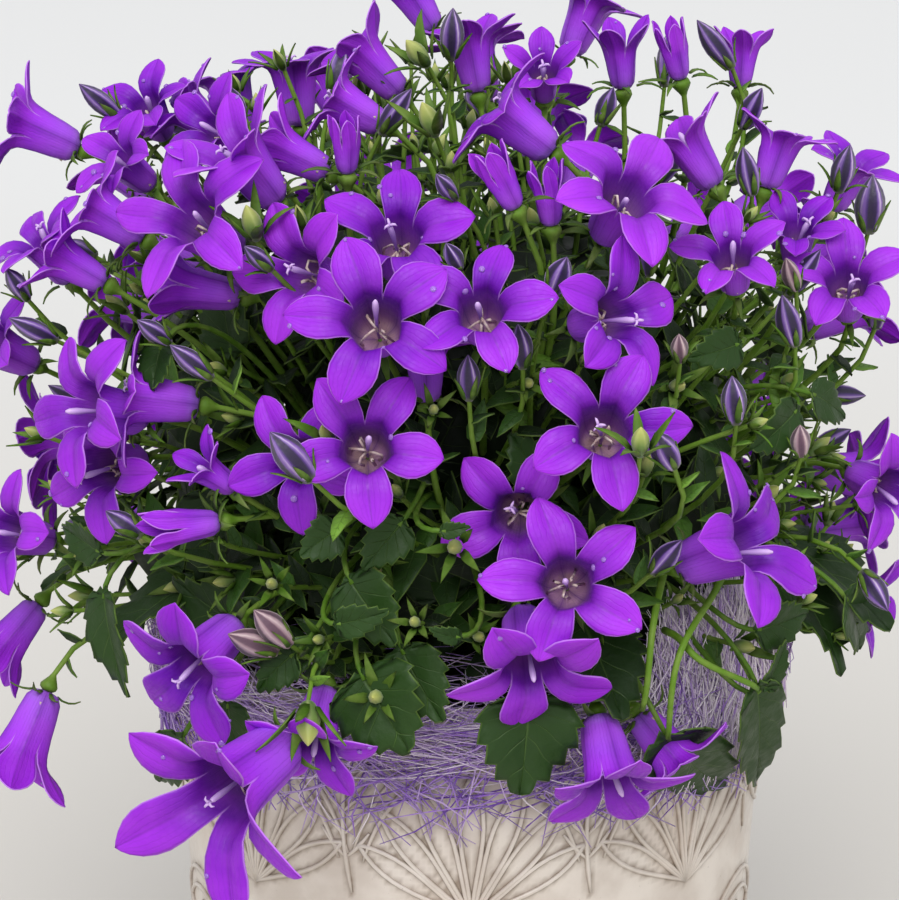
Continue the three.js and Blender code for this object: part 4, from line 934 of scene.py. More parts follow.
def make_hearts(blooms, material):
    """Styles, half of them with an open stigma, and dried stamens."""
    random = np.random.default_rng(31)
    piece = Piece("along", "dried")
    t = np.linspace(0, 1, STAMEN_STATIONS)
    for bloom in blooms:
        span, mouth = bloom["span"], TUBE_LENGTH * bloom["span"]
        top = mouth + STYLE_REACH * span * (0.9 + 0.5 * random.random())
        lean = 0.05 * span * random.standard_normal(2)
        heights = 0.1 * mouth + (top - 0.1 * mouth) * STYLE_SHARES
        path = np.stack([lean[0] * STYLE_SHARES ** 2, lean[1] * STYLE_SHARES ** 2, heights], -1)
        piece.add(on_bloom(sweep(path[None], STYLE_RADII, 6), bloom), along=repeated(STYLE_SHARES, 6))
        if random.random() < OPEN_STIGMAS:
            angles = np.arange(ARMS) * TAU / ARMS + random.random()
            curls = path[-1] + polar(ARM_REACH[None], angles[:, None], ARM_RISE[None])
            girth = np.broadcast_to(ARM_RADII, (ARMS, len(ARM_RADII)))
            piece.add(on_bloom(sweep(curls, girth, 5), bloom), along=1.0)
        angles = np.arange(LOBES) * TAU / LOBES + 0.6 + 0.3 * random.standard_normal(LOBES)
        radius = span * (0.1 - 0.075 * t + 0.035 * np.sin(5 * t + TAU * random.random((LOBES, 1))))
        swirl = angles[:, None] + 0.5 * t * random.standard_normal((LOBES, 1))
        height = mouth * (0.2 + (0.35 + 0.3 * random.random((LOBES, 1))) * np.sin(2.2 * t))
        girth = np.full((LOBES, STAMEN_STATIONS), STAMEN_RADIUS)
        stamens = sweep(polar(radius, swirl, height), girth, 4)
        piece.add(on_bloom(stamens, bloom), along=0.5, dried=1.0)
    piece.build("flower_hearts", material)


# Stems, calyxes and sepals

STEM_STATIONS = 11
LEAF_STALK_STATIONS = 14
SEEN_STALK_STATIONS = 16

# Radii of stalks at the root and at the end.
BLOOM_STALK = (1.15, 0.6)
BUD_STALK = (1.0, 0.5)
LEAF_STALK = (0.7, 0.55)
SEEN_STALK = (0.8, 0.62)

# A bloom's stalk ends short of the calyx, where the ovary swells: heights over that end and
# radii. Sepals have some rows of three points each.
NECK = 4.2
OVARY_HEIGHTS = np.array([0.9, 1.9, 2.8, 3.5, 4.1])
OVARY_RADII = (1.0, 1.65, 2.15, 2.0, 1.2)
SEPAL_ROWS = 5
SEPAL_DEPTH = 0.3
SEPAL_HALF_WIDTHS = np.array([0.75, 1, 0.82, 0.48, 0.03])


def stem_paths(ends, directions, random):
    """Stems from the crown up and out to their ends, which they reach in given directions."""
    azimuth = np.arctan2(ends[:, 1], ends[:, 0]) + 0.5 * random.standard_normal(len(ends))
    start = polar(CROWN_RADIUS * random.random(len(ends)) ** 0.5, azimuth, CROWN_HEIGHT)
    reach = np.linalg.norm(ends - start, axis=1, keepdims=True)
    outward = polar(1, azimuth, 0)
    leave = start + outward * 0.12 * reach + UP * np.maximum(0.45 * reach, 48)
    arrive = ends - directions * (0.16 * reach + 6)
    return bezier(start, leave, arrive, ends, STEM_STATIONS)


def taper(paths, low, high):
    return np.broadcast_to(np.linspace(low, high, paths.shape[1]), paths.shape[:2])


def add_stems(piece, paths, thickness, axes, heights, radii, shade, sides):
    """Tapered stems, each with a swelling on its end: heights along an axis, and radii there."""
    swelling = paths[:, -1:] + heights[:, None] * axes[:, None]
    swelling_radii = np.broadcast_to(radii, (len(paths), len(heights)))
    whole = np.concatenate([paths, swelling], axis=1)
    girth = np.concatenate([taper(paths, *thickness), swelling_radii], axis=1)
    along = np.append(np.linspace(0.3, 1, paths.shape[1]), np.full(len(heights), shade))
    along = np.tile(np.repeat(along, sides), len(paths))
    piece.add(sweep(whole, girth, sides), along=along, brown=0.1)


def sepal_grids(origin, axes, count, length, radius, base_lean, tip_lean, random):
    """Narrow pointed sepals round a calyx, as (count, SEPAL_ROWS, 3, 3) points."""
    rows = np.linspace(0, 1, SEPAL_ROWS)
    angle = np.arange(count) * TAU / count + math.pi / count + 0.12 * random.standard_normal(count)
    length = length * (0.85 + 0.3 * random.random((count, 1)))
    lean = base_lean + (tip_lean + 0.3 * random.standard_normal((count, 1)) - base_lean) * rows
    step = length / (len(rows) - 1)
    out = radius + np.cumsum(np.sin(lean), axis=1) * step
    rise = -0.8 + np.cumsum(np.cos(lean), axis=1) * step
    half = 0.13 * length * SEPAL_HALF_WIDTHS
    side = np.array([1, 0, -1])
    local = np.stack(np.broadcast_arrays(
        out[..., None] - 0.25 * np.abs(side) * half[..., None] * np.cos(lean)[..., None],
        side * half[..., None],
        rise[..., None] + 0.25 * np.abs(side) * half[..., None]), -1)
    cos, sin = np.cos(angle)[:, None, None], np.sin(angle)[:, None, None]
    turned = np.stack([local[..., 0] * cos - local[..., 1] * sin,
                       local[..., 0] * sin + local[..., 1] * cos, local[..., 2]], -1)
    return origin + turned @ axes


def add_sepals(piece, grids, brown):
    count = len(grids)
    quads = grid_quads(SEPAL_ROWS, 3, count)
    shell = closed_shell(grids.reshape(-1, 3), quads, NO_TRIS, SEPAL_DEPTH)
    rows = np.tile(np.repeat(np.linspace(0, 1, SEPAL_ROWS), 3), count)
    piece.add(shell, along=np.tile(0.45 + 0.3 * rows, 2), brown=np.tile(brown * rows, 2))


def make_calyxes(blooms, material):
    """The stalk, ovary and sepals of each bloom. Returns the stalks' paths."""
    random = np.random.default_rng(41)
    piece = Piece("along", "brown")
    facing = np.stack([bloom["facing"] for bloom in blooms])
    neck = np.stack([bloom["calyx"] for bloom in blooms]) - NECK * facing
    paths = stem_paths(neck, facing, random)
    add_stems(piece, paths, BLOOM_STALK, facing, OVARY_HEIGHTS, OVARY_RADII, shade=0.75, sides=7)
    for bloom in blooms:
        lean = 0.9 + 0.25 * random.random()
        grids = sepal_grids(bloom["calyx"], bloom_axes(bloom), LOBES, length=6, radius=1.7,
                            base_lean=lean, tip_lean=2.1, random=random)
        add_sepals(piece, grids, 0.8 * random.random())
    piece.build("stalks", material, ["foliage"])
    return paths


# Buds

BUD_SHARES = np.array([0, 0.06, 0.16, 0.3, 0.45, 0.6, 0.74, 0.86, 0.95, 1])
BUD_GIRTHS = np.array([0.2, 0.3, 0.38, 0.46, 0.5, 0.47, 0.37, 0.23, 0.1, 0.02])
BUD_SIDES = 24
DRAFT_BUD_SIDES = 10
YOUNG_BUD_SIDES = 8
BUD_FOOT_HEIGHTS = np.array([0.7, 1.3])
BUD_FOOT_SHARES = np.array([0.27, 0.3])


def seen_buds():
    """Buds read from the front, as (base, tip, thickness, kind)."""
    for tip, base, width, sink, kind in SEEN_BUDS:
        distance = sight_distance(base) + sink
        yield (EYE + sight_direction(base) * (distance + BUD_LEAN),
               EYE + sight_direction(tip) * distance, width, kind)


def half_open_blooms():
    """Buds about to open, as blooms with their petals still upright."""
    blooms = []
    for number, (base, tip, _, kind) in enumerate(seen_buds()):
        if kind == HALF_OPEN:
            facing, length = unit(tip - base), np.linalg.norm(tip - base)
            span = max(length, 11) / (TUBE_LENGTH + 0.95 * PETAL_LENGTH)
            middle = base + facing * TUBE_LENGTH * span
            blooms.append(dict(name=f"h{number:02d}", calyx=base, middle=middle, facing=facing,
                               toward=np.array([1, 0, 0.4]), span=span, opened=0.06, wider=0.76))
    return blooms


def bud_list(random):
    """Buds as (base, tip, thickness, youth, pinkness)."""
    buds = [(base, tip, width, float(kind == GREEN), float(kind == PINKISH))
            for base, tip, width, kind in seen_buds() if kind != HALF_OPEN]
    for index in range(SPREAD_BUDS):
        depth = 0.8 + 0.14 * random.random()
        base = spiral_point(index, SPREAD_BUDS, drop=1.3, turn=1.1, scale=depth)
        axis = unit(dome_facing(base) + 0.5 * random.standard_normal(3) + 0.3 * UP)
        if np.dot(axis, unit(EYE - base)) > BUD_HIDDEN_FROM_EYE:
            continue
        buds.append((base, base + axis * (8 + 5 * random.random()), SPREAD_BUD_WIDTH, 0.0, 0.0))
    return buds


def make_buds(buds, material, name, most_sides=BUD_SIDES):
    """Five-ridged spindles."""
    piece = Piece("along", "ridge", "young", "pink")
    sides = min(most_sides, BUD_SIDES if FINE else DRAFT_BUD_SIDES)
    angle = np.arange(sides) * TAU / sides
    ridge = 0.5 + 0.5 * np.cos(LOBES * angle[None] + 0.5 * BUD_SHARES[:, None])
    for base, tip, width, young, pink in buds:
        path = base + (tip - base) * BUD_SHARES[:, None]
        radii = BUD_GIRTHS[:, None] * width * (1 + 0.2 * (ridge - 0.5) * (1 - 0.7 * young))
        piece.add(sweep(path[None], radii[None], sides), along=np.repeat(BUD_SHARES, sides),
                  ridge=ridge.ravel() ** 4, young=young, pink=pink)
    piece.build(name, material)


def make_bud_stalks(buds, material, name, random):
    """The stalk, green foot and sepals of each bud. Returns the stalks' paths."""
    piece = Piece("along", "brown")
    base = np.stack([bud[0] for bud in buds])
    axis = unit(np.stack([bud[1] - bud[0] for bud in buds]))
    foot_radii = np.array([bud[2] for bud in buds])[:, None] * BUD_FOOT_SHARES
    paths = stem_paths(base, axis, random)
    add_stems(piece, paths, BUD_STALK, axis, BUD_FOOT_HEIGHTS, foot_radii, shade=0.8, sides=6)
    for (base, tip, width, young, _), direction in zip(buds, axis):
        size = np.linalg.norm(tip - base)
        grids = sepal_grids(base, axes_of(direction, np.array([0.3, 0.2, 1])), LOBES,
                            length=min(0.5 * size + 1, 6) + 0.55 * size * young,
                            radius=0.25 * width, base_lean=0.35 + 0.2 * young,
                            tip_lean=0.5 + 0.3 * young, random=random)
        add_sepals(piece, grids, 0.5 * random.random())
    piece.build(name, material)
    return paths


# Leaves

LEAF_ROWS = 6
LEAF_ACROSS = np.array([-1, 0, 1])
BROAD_ROWS = 22
BROAD_ACROSS = np.array([-1, -0.8, -0.5, -0.22, 0, 0.22, 0.5, 0.8, 1])
BROAD_OUTLINE = np.array([(0.03, -0.08), (0.12, -0.03), (0.3, 0.0), (0.44, 0.08), (0.5, 0.22),
                          (0.48, 0.38), (0.41, 0.55), (0.3, 0.72), (0.16, 0.88), (0.003, 1)])
SMALL_OUTLINE = np.array([(0.06, 0), (0.34, 0.06), (0.5, 0.26), (0.45, 0.48), (0.3, 0.7),
                          (0.15, 0.87), (0.004, 1)])
LEAF_DEPTH = 0.35
TOOTH_SWINGS = np.array([-0.8, 0.1, 1.2])
TOOTH_SIZE = np.array([0.036, 0.03])

# How many toothed leaves hang over the rim and from where, and how many lie within the bush.
SKIRT_LEAVES = 34
SKIRT_HEIGHT = 151
SKIRT_RADIUS = 72
TOOTHED_WITHIN = 85
SMALL_WITHIN = 240

# Where leaves sit along a stem, as shares of it, and how long they are there.
STEM_LEAF_PLACES = (0.5, 0.62, 0.72, 0.8, 0.87, 0.93)
STEM_LEAF_LENGTHS = (14, 12.5, 11, 9, 7, 5)

# Spots of a blade that have to stay out of blooms, in shares of its width and its length.
BLADE_SPOTS = ((0, 0), (0, 0.35), (0, 0.7), (0, 1), (-0.4, 0.3), (0.4, 0.3), (-0.3, 0.6), (0.3, 0.6))


def blade_plan(outline, rows, across, teeth):
    """Where each point of a blade lies, in shares of its width and its length."""
    run = np.concatenate([[0], np.cumsum(np.linalg.norm(np.diff(outline, axis=0), axis=1))])
    share = np.linspace(0, 1, rows)
    edge = np.stack([np.interp(share * run[-1], run, outline[:, axis]) for axis in (0, 1)], -1)
    if teeth:
        swing = TOOTH_SWINGS[np.arange(rows) % len(TOOTH_SWINGS)]
        tooth = swing * smooth(share / 0.2) * smooth((1 - share) / 0.08)
        edge = edge + tooth[:, None] * TOOTH_SIZE
    rib = share ** (3 if teeth else 1.7)
    out = np.abs(across)[None, :]
    x = np.sign(across)[None, :] * edge[:, :1] * out
    y = rib[:, None] * (1 - out) + edge[:, 1:] * out
    return x, y


def blades(leaves, rows, across, outline, teeth, random):
    """Closed shells of leaf blades from a dict of (m, ...) arrays."""
    x, y = blade_plan(outline, rows, across, teeth)
    count = len(leaves["start"])
    along = unit(leaves["end"] - leaves["start"])
    length = np.linalg.norm(leaves["end"] - leaves["start"], axis=1)[:, None, None]
    side = unit(np.cross(along, leaves["facing"]))
    up = np.cross(side, along)
    width = leaves["width"][:, None, None]
    phase = TAU * random.random((count, 1, 1))
    arch = 0.12 + 0.1 * random.standard_normal((count, 1, 1)) * leaves["loose"]
    cup = 0.16 + 0.08 * random.standard_normal((count, 1, 1))
    wave = 0.045 * width * np.sin(phase + 9 * y + 2 * np.sign(x)) * np.abs(across) ** 2
    sway = 0.08 * length * random.standard_normal((count, 1, 1)) * y ** 2
    lift = cup * np.abs(x) * width - arch * length * y * np.abs(y) + wave
    lift = lift - 0.02 * width * np.exp(-((across / 0.2) ** 2))
    points = leaves["start"][:, None, None] + side[:, None, None] * (x * width + sway)[..., None]
    points = points + along[:, None, None] * (y * length)[..., None]
    points = points + up[:, None, None] * lift[..., None]
    quads = grid_quads(rows, len(across), count)
    size = rows * len(across)
    marks = dict(across=np.tile(np.tile(np.abs(across), rows), 2 * count),
                 along=np.tile(np.repeat(np.linspace(0, 1, rows), len(across)), 2 * count),
                 upper=np.repeat([0.0, 1.0], size * count),
                 tint=np.tile(np.repeat(leaves["tint"], size), 2))
    return closed_shell(points.reshape(-1, 3), quads, NO_TRIS, LEAF_DEPTH), marks


def joined(groups):
    return {key: np.concatenate([group[key] for group in groups]) for key in groups[0]}


def leaf_group(start, along, length, facing, slimness, tint, loose=1.0):
    """A dict of leaves that leave their starts along unit directions."""
    return dict(start=start, end=start + along * length[:, None], facing=facing,
                width=slimness * length, tint=tint, loose=np.full((len(start), 1, 1), loose))


def stem_leaves(paths, random):
    """Small leaves set round stems, smaller towards the tip."""
    groups = []
    for place, size in zip(STEM_LEAF_PLACES, STEM_LEAF_LENGTHS):
        spot = place * (paths.shape[1] - 1)
        low = int(spot)
        run = paths[:, low + 1] - paths[:, low]
        start = paths[:, low] + run * (spot - low)
        tangent = unit(run)
        around = unit(np.cross(tangent, random.standard_normal(tangent.shape)))
        along = unit(around * 0.8 + tangent * 0.45 + random.standard_normal(tangent.shape) * 0.15)
        length = size * (0.7 + 0.6 * random.random(len(paths)))
        # Lower tints, so darker leaves, the deeper a leaf sits in the bush: painted shade, with some
        # random spread.
        tint = 0.2 + 0.58 * dome_level(start) + 0.22 * random.standard_normal(len(paths))
        facing = unit(tangent + 0.5 * UP)
        groups.append(leaf_group(start, along, length, facing, 0.46, np.clip(tint, 0, 1)))
    return joined(groups)


def inner_leaves(count, levels, lengths, tint, turn, random):
    """A spiral of leaves on a shrunken dome, facing outwards."""
    level = between(levels, random.random((count, 1)))
    surface = spiral_point(np.arange(count), count, drop=1.5, turn=turn)
    start = DOME_CENTRE + (surface - DOME_CENTRE) * level
    facing = dome_facing(surface)
    any_way = random.standard_normal((count, 3))
    along = unit(unit(np.cross(facing, any_way)) + facing * 0.5 * (random.random((count, 1)) - 0.2))
    length = between(lengths, random.random(count))
    tint = np.clip(tint + 0.14 * random.standard_normal(count), 0, 1)
    return leaf_group(start, along, length, facing, 0.75, tint)


def near_bloom(points, blooms, margin):
    """Whether points lie inside a bloom's petals or tube, or within a margin of them."""
    near = np.zeros(len(points), bool)
    for bloom in blooms:
        span = bloom["span"]
        away = points - bloom["middle"]
        along = away @ bloom["facing"]
        across = np.sqrt(np.maximum(np.sum(away ** 2, axis=1) - along ** 2, 0))
        rise = PETAL_LENGTH * span * math.cos(0.5 * math.pi * bloom["opened"])
        in_petals = (along > -0.1 * span - margin) & (along < rise + 0.1 * span + margin)
        in_petals &= across < 0.5 * span + margin
        in_tube = (along > -TUBE_LENGTH * span - margin) & (along < 0)
        in_tube &= across < THROAT_RADIUS * span + margin
        near |= in_petals | in_tube
    return near


def kept_clear(leaves, blooms, margin=1.0):
    """The leaves whose middle line and sides stay out of the blooms."""
    span = leaves["end"] - leaves["start"]
    side = unit(np.cross(span, leaves["facing"])) * leaves["width"][:, None]
    clear = np.ones(len(span), bool)
    for x, y in BLADE_SPOTS:
        clear &= ~near_bloom(leaves["start"] + span * y + side * x, blooms, margin)
    return {key: value[clear] for key, value in leaves.items()}


def in_windows(points, windows):
    """Whether points are seen inside one of several stretches of the picture."""
    column, row = reading_of(points)
    inside = [(column > left) & (column < right) & (row > top) & (row < bottom)
              for left, top, right, bottom in windows]
    return np.any(inside, axis=0)


def kept_out(leaves, windows):
    """The leaves that don't show in stretches of the picture."""
    shares = np.array([0, 0.5, 1])[:, None, None]
    places = leaves["start"] + (leaves["end"] - leaves["start"]) * shares
    clear = ~np.any(in_windows(places, windows), axis=0)
    return {key: value[clear] for key, value in leaves.items()}


def seen_leaves():
    rows = []
    for start, end, width, sink in SEEN_LEAVES:
        low, high = sight_point(start, sink[0]), sight_point(end, sink[1])
        rows.append((low, high, dome_facing((low + high) / 2), width))
    start, end, facing, width = (np.array(column, float) for column in zip(*rows))
    return dict(start=start, end=end, facing=facing, width=width, tint=np.full(len(rows), 0.44),
                loose=np.full((len(rows), 1, 1), 0.25))


def skirt_leaves(count, random):
    """Leaves that hang over the rim."""
    azimuth = np.arange(count) * TAU / count + 0.2 * (random.random(count) - 0.5)
    length = 22 + 10 * random.random(count)
    height = SKIRT_HEIGHT + 10 * (random.random(count) - 0.5)
    start = polar(SKIRT_RADIUS + 6 * random.random(count), azimuth, height)
    heading = azimuth + 0.5 * (random.random(count) - 0.5)
    along = unit(polar(1, heading, -(9 + 9 * random.random(count)) / 20))
    facing = unit(UP + 0.4 * along)
    return leaf_group(start, along, length, facing, 0.78, 0.35 + 0.3 * random.random(count))


def petioles(leaves):
    """Leaf stalks that run from the bush's middle to the blades."""
    start = leaves["start"]
    root = DOME_CENTRE + (start - DOME_CENTRE) * np.array([0.45, 0.45, 0.3])
    root[:, 2] = np.maximum(root[:, 2], CORE_LOWEST_ROOT - 15)
    along = unit(leaves["end"] - start)
    reach = np.linalg.norm(start - root, axis=1, keepdims=True)
    rise = UP * 0.25 * reach
    leave, arrive = root + 0.4 * (start - root) + rise, start - along * 0.22 * reach
    return bezier(root, leave, arrive, start + along, LEAF_STALK_STATIONS)


def add_seen_stalks(piece):
    """Smooth stalks through the points of their readings."""
    for readings in SEEN_STALKS:
        knots = np.stack([sight_point(*place) for place in zip(readings, SEEN_STALK_SINKS)])
        share = np.linspace(0, 1, len(knots))
        curve = np.polynomial.polynomial.polyfit(share, knots, len(knots) - 1)
        share = np.linspace(0, 1, SEEN_STALK_STATIONS)
        path = np.polynomial.polynomial.polyval(share, curve).T[None]
        piece.add(sweep(path, taper(path, *SEEN_STALK), 8), along=0.85)


def build_leaves(name, material, leaves, shape, random):
    piece = Piece("across", "along", "upper", "tint")
    shell, marks = blades(leaves, *shape, random)
    piece.add(shell, **marks)
    piece.build(name, material, ["foliage"])


def make_leaves(blooms, paths, leaf, stem):
    """Toothed leaves on long stalks, and small ones on the stems and in the bush's middle."""
    random = np.random.default_rng(61)
    skirt = kept_out(kept_clear(skirt_leaves(SKIRT_LEAVES, random), blooms), WINDOWS)
    # Toothed leaves within the bush are given a dark tint: painted shade.
    inner = inner_leaves(TOOTHED_WITHIN, levels=(0.55, 0.76), lengths=(14, 22), tint=0.25, turn=0.4,
                         random=random)
    inner = kept_out(kept_clear(inner, blooms), WINDOWS + SKY_WINDOWS)
    broad = joined([seen_leaves(), skirt, inner])
    build_leaves("leaves_toothed", leaf, broad, (BROAD_ROWS, BROAD_ACROSS, BROAD_OUTLINE, True), random)

    stalks = Piece("along", "brown")
    stalk_paths = petioles(broad)
    stalks.add(sweep(stalk_paths, taper(stalk_paths, *LEAF_STALK), 6), along=0.6)
    add_seen_stalks(stalks)
    stalks.build("leaf_stalks", stem)

    on_stems = kept_clear(stem_leaves(paths, random), blooms, 0.3)
    # Small leaves deep in the bush are given a near-black tint: painted shade.
    deep = inner_leaves(SMALL_WITHIN, levels=(0.35, 0.66), lengths=(19, 29), tint=0.03, turn=2.1,
                        random=random)
    small = joined([on_stems, kept_out(deep, SKY_WINDOWS)])
    build_leaves("leaves_small", leaf, small, (LEAF_ROWS, LEAF_ACROSS, SMALL_OUTLINE, False), random)


SHOOTS = 260


def make_shoots(blooms, material, bud_material):
    """Green shoots that carry no bloom, each ending in young buds. Returns their paths."""
    random = np.random.default_rng(71)
    ends = spiral_point(np.arange(SHOOTS), SHOOTS, drop=1.25, turn=0.9)
    ends = DOME_CENTRE + (ends - DOME_CENTRE) * (0.72 + 0.24 * random.random((SHOOTS, 1)))
    ends = ends[~near_bloom(ends, blooms, 1.5) & ~in_windows(ends, SKY_WINDOWS)]
    directions = unit(dome_facing(ends) + 0.4 * UP + 0.3 * random.standard_normal(ends.shape))
    buds = []
    for end, direction in zip(ends, directions):
        size = 3.5 + 3.5 * random.random()
        buds.append((end, end + direction * size, 0.42 * size + 0.3, 1.0, 0.0))
    paths = make_bud_stalks(buds, material, "shoots", random)
    make_buds(buds, bud_material, "young_buds", YOUNG_BUD_SIDES)
    return paths


# Sisal

STRAND_STATIONS = 6

# The collar's outside, from where it hangs on the wall to where it goes over the rim.
COLLAR_RADIUS = 70.5
COLLAR_HEIGHTS = (90, 118, 128, 134, 140)
COLLAR_RADII = COLLAR_RADIUS + np.array([-1, 1, 1.5, -4, -12])

# The clump on the right stands upright above a height, with a wad behind it.
CLUMP_AZIMUTH = -0.7
CLUMP_SPREAD = 0.14
CLUMP_BEND = 129
WAD_HALF_ANGLE = 0.28
WAD_GRID = (16, 30)


def collar_radius(height):
    return np.interp(height, COLLAR_HEIGHTS, COLLAR_RADII)


def clump_radius(height):
    return collar_radius(np.minimum(height, CLUMP_BEND))


def add_strands(piece, random, count, place, swing, lows, highs, follow, loose, radius, pale):
    """Curved strands between heights, which swing round the pot as they go."""

    def wave(turns):
        """A sine that starts anywhere, for each strand."""
        return np.sin(TAU * (turns + random.random((count, 1))))

    t = np.linspace(0, 1, STRAND_STATIONS)
    azimuth, turn = place(count), swing * random.standard_normal(count)
    low, high = between(lows, random.random(count)), between(highs, random.random(count))
    angle = azimuth[:, None] + turn[:, None] * (t - 0.5)
    angle = angle + 0.05 * wave(t * (0.4 + 0.6 * random.random((count, 1))))
    height = low[:, None] + (high - low)[:, None] * t
    height = height + 2.2 * wave(0.7 * t)
    out = follow(height) + loose * random.random((count, 1)) + 0.7 * wave(t)
    ends = np.ones(STRAND_STATIONS)
    ends[[0, -1]] = 0.5
    girth = radius * (0.7 + 0.7 * random.random((count, 1))) * ends
    tint = np.clip(pale + 0.28 * random.standard_normal(count), 0, 1)
    piece.add(sweep(polar(out, angle, height), girth, 3), tint=repeated(tint, 3 * STRAND_STATIONS))


def add_wad(piece, random):
    """A bulging sheet behind the clump's strands."""
    rows, columns = WAD_GRID
    across, rise = np.linspace(-1, 1, columns), np.linspace(0, 1, rows)[:, None]
    angle = CLUMP_AZIMUTH + WAD_HALF_ANGLE * across * (1 - 0.2 * rise)
    height = 113 + 35 * rise + 2.5 * np.sin(7 * across + 2 * rise)
    bulge = (1 - across ** 4) * np.sin(math.pi * (0.1 + 0.85 * rise)) ** 0.5
    out = clump_radius(height) - 3 + 3.4 * bulge + 0.5 * random.random((rows, columns))
    wad = polar(out, angle, height).reshape(-1, 3)
    piece.add(closed_shell(wad, grid_quads(rows, columns), NO_TRIS, 0.6), tint=0.86)


def make_sisal(material):
    """Fine strands, coarser ones lower down, some inside the rim, and the clump with its wad."""
    random = np.random.default_rng(83)
    piece = Piece("tint")

    def around(count):
        return TAU * random.random(count)

    def in_clump(count):
        return CLUMP_AZIMUTH + CLUMP_SPREAD * random.standard_normal(count)

    def inside_rim(height):
        return between((56, 64), random.random((len(height), 1))) + 0 * height

    # How many strands and where, how far they swing, the heights of their two ends, what they
    # follow and how loosely, their radius and how pale they are.
    for group in ((1000, around, 0.9, (112, 122), (124, 138), collar_radius, 3.5, 0.13, 0.7),
                  (760, around, 0.42, (97, 111), (116, 132), collar_radius, 2, 0.19, 0.35),
                  (260, around, 0.8, (120, 128), (130, 140), inside_rim, 4, 0.13, 0.5),
                  (1100, in_clump, 0.16, (106, 116), (138, 152), clump_radius, 4, 0.16, 0.95)):
        add_strands(piece, random, *group)
    add_wad(piece, random)
    piece.build("sisal_strands", material, ["sisal_collar"])


# Cover pot

POT_HEIGHT = 128
FOOT_RADIUS, FOOT_HEIGHT = 62.7, 4
RIM_RADIUS, RIM_FOOT = 69.5, 125.8
WALL_BULGE = 0.35
WALL_HEIGHTS = (10, 124)
POT_FOOT = ((0, 0), (40, 0), (57, 0), (60.6, 0.5), (62.3, 2), (FOOT_RADIUS, FOOT_HEIGHT), (62.95, 8))
POT_RIM = ((RIM_RADIUS, RIM_FOOT), (69.2, 127), (68.2, 127.8), (67, POT_HEIGHT), (65.8, 127.8),
           (64.8, 127), (64.5, RIM_FOOT))
POT_INSIDE = ((63.2, 100), (60.5, 50), (57.6, 14), (56, 8.5), (52.5, 6), (30, 6), (0, 6))
POT_ROWS, DRAFT_POT_ROWS = 80, 50

# The raised lines: arcs are measured on a cylinder, an eighth of it to each fan. A row of fans
# has its middle, in shares of an eighth, the height of its roots and its size.
FANS = 8
FAN_COLUMNS, DRAFT_FAN_COLUMNS = 44, 30
ARC_RADIUS = 66.5
FAN_PITCH = TAU * ARC_RADIUS / FANS
FAN_ROWS = ((0, 80, 1.0), (0.5, 26, 1.15))
FAN_LOOPS = 7
LOOP_TURN = 19
TWIGS = 4
RELIEF_HEIGHTS = (8, 122)
RELIEF_SIDES = 6
RELIEF_GIRTH = 0.62
FRONT = -math.pi / 2


def wall_radius(height):
    flare = (RIM_RADIUS - FOOT_RADIUS) * (height - FOOT_HEIGHT) / (RIM_FOOT - FOOT_HEIGHT)
    return FOOT_RADIUS + flare + WALL_BULGE * np.sin(math.pi * height / POT_HEIGHT)


def pot_outline(rows):
    """The wall's outside from foot to rim, then the inside down to the middle."""
    wall = [(wall_radius(height), height) for height in np.linspace(*WALL_HEIGHTS, rows)]
    return np.array([*POT_FOOT, *wall, *POT_RIM, *POT_INSIDE], float)


def loop_line(root, angle, length, width):
    """A narrow teardrop loop that leaves its root at an angle from upright."""
    t = np.linspace(0, 1, 12)
    half = width * np.sin(math.pi * t ** 1.6) ** 0.9
    one = np.stack([half, t * length], -1)
    other = np.stack([-half[::-1], t[::-1] * length], -1)
    loop = np.concatenate([one, other])
    cos, sin = math.cos(angle), math.sin(angle)
    return root + loop @ np.array([[cos, -sin], [sin, cos]])


def relief_lines():
    """Raised lines of one eighth of the wall, as (arc length, height) points."""
    lines = []
    for share, root_height, size in FAN_ROWS:
        root = np.array([share * FAN_PITCH, root_height])
        for number in range(FAN_LOOPS):
            angle = math.radians(LOOP_TURN * (number - FAN_LOOPS // 2))
            length = size * (27 + 7 * math.cos(angle * 1.3))
            lines.append(loop_line(root, angle, length, size * 2.5))
        for reach in (1.0, 1.1):
            t = np.linspace(-1.15, 1.15, 20)
            arch = np.stack([np.sin(t) * 25.5 * reach, np.cos(t) * 41 * reach * size - 5], -1)
            lines.append(root + arch)
    t = np.linspace(0, 1, 12)
    stem = np.stack([FAN_PITCH / 2 - 1.5 * np.sin(3 * t), 84 + 30 * t], -1)
    lines.append(stem)
    for twig in range(TWIGS):
        foot = stem[3 + 2 * twig]
        for side in (-1, 1):
            s = np.linspace(0, 1, 5)[:, None]
            lines.append(foot + s * np.array([side * 5.5, 5.0]) + s * s * np.array([0, 1.5]))
    return lines


def relief_wash(arc, height):
    """The depth of the brown patina and painted shade beside the raised lines, at places on one eighth
    of the wall.
    """
    places = np.stack([arc, height], -1)[:, None, :]
    nearest = np.full(len(arc), 1e9)
    for shift in (-FAN_PITCH, 0, FAN_PITCH):
        for line in relief_lines():
            line = line + np.array([shift, 0])
            start, run = line[None, :-1], np.diff(line, axis=0)[None]
            share = np.sum((places - start) * run, -1) / np.maximum(np.sum(run * run, -1), 1e-9)
            gap = places - start - np.clip(share, 0, 1)[..., None] * run
            nearest = np.minimum(nearest, np.sqrt(np.sum(gap * gap, -1)).min(axis=1))
    fade = smooth((height - 7) / 5) * smooth((123 - height) / 3)
    return 0.9 * np.exp(-((np.maximum(nearest - 0.4, 0) / 0.6) ** 2)) * fade


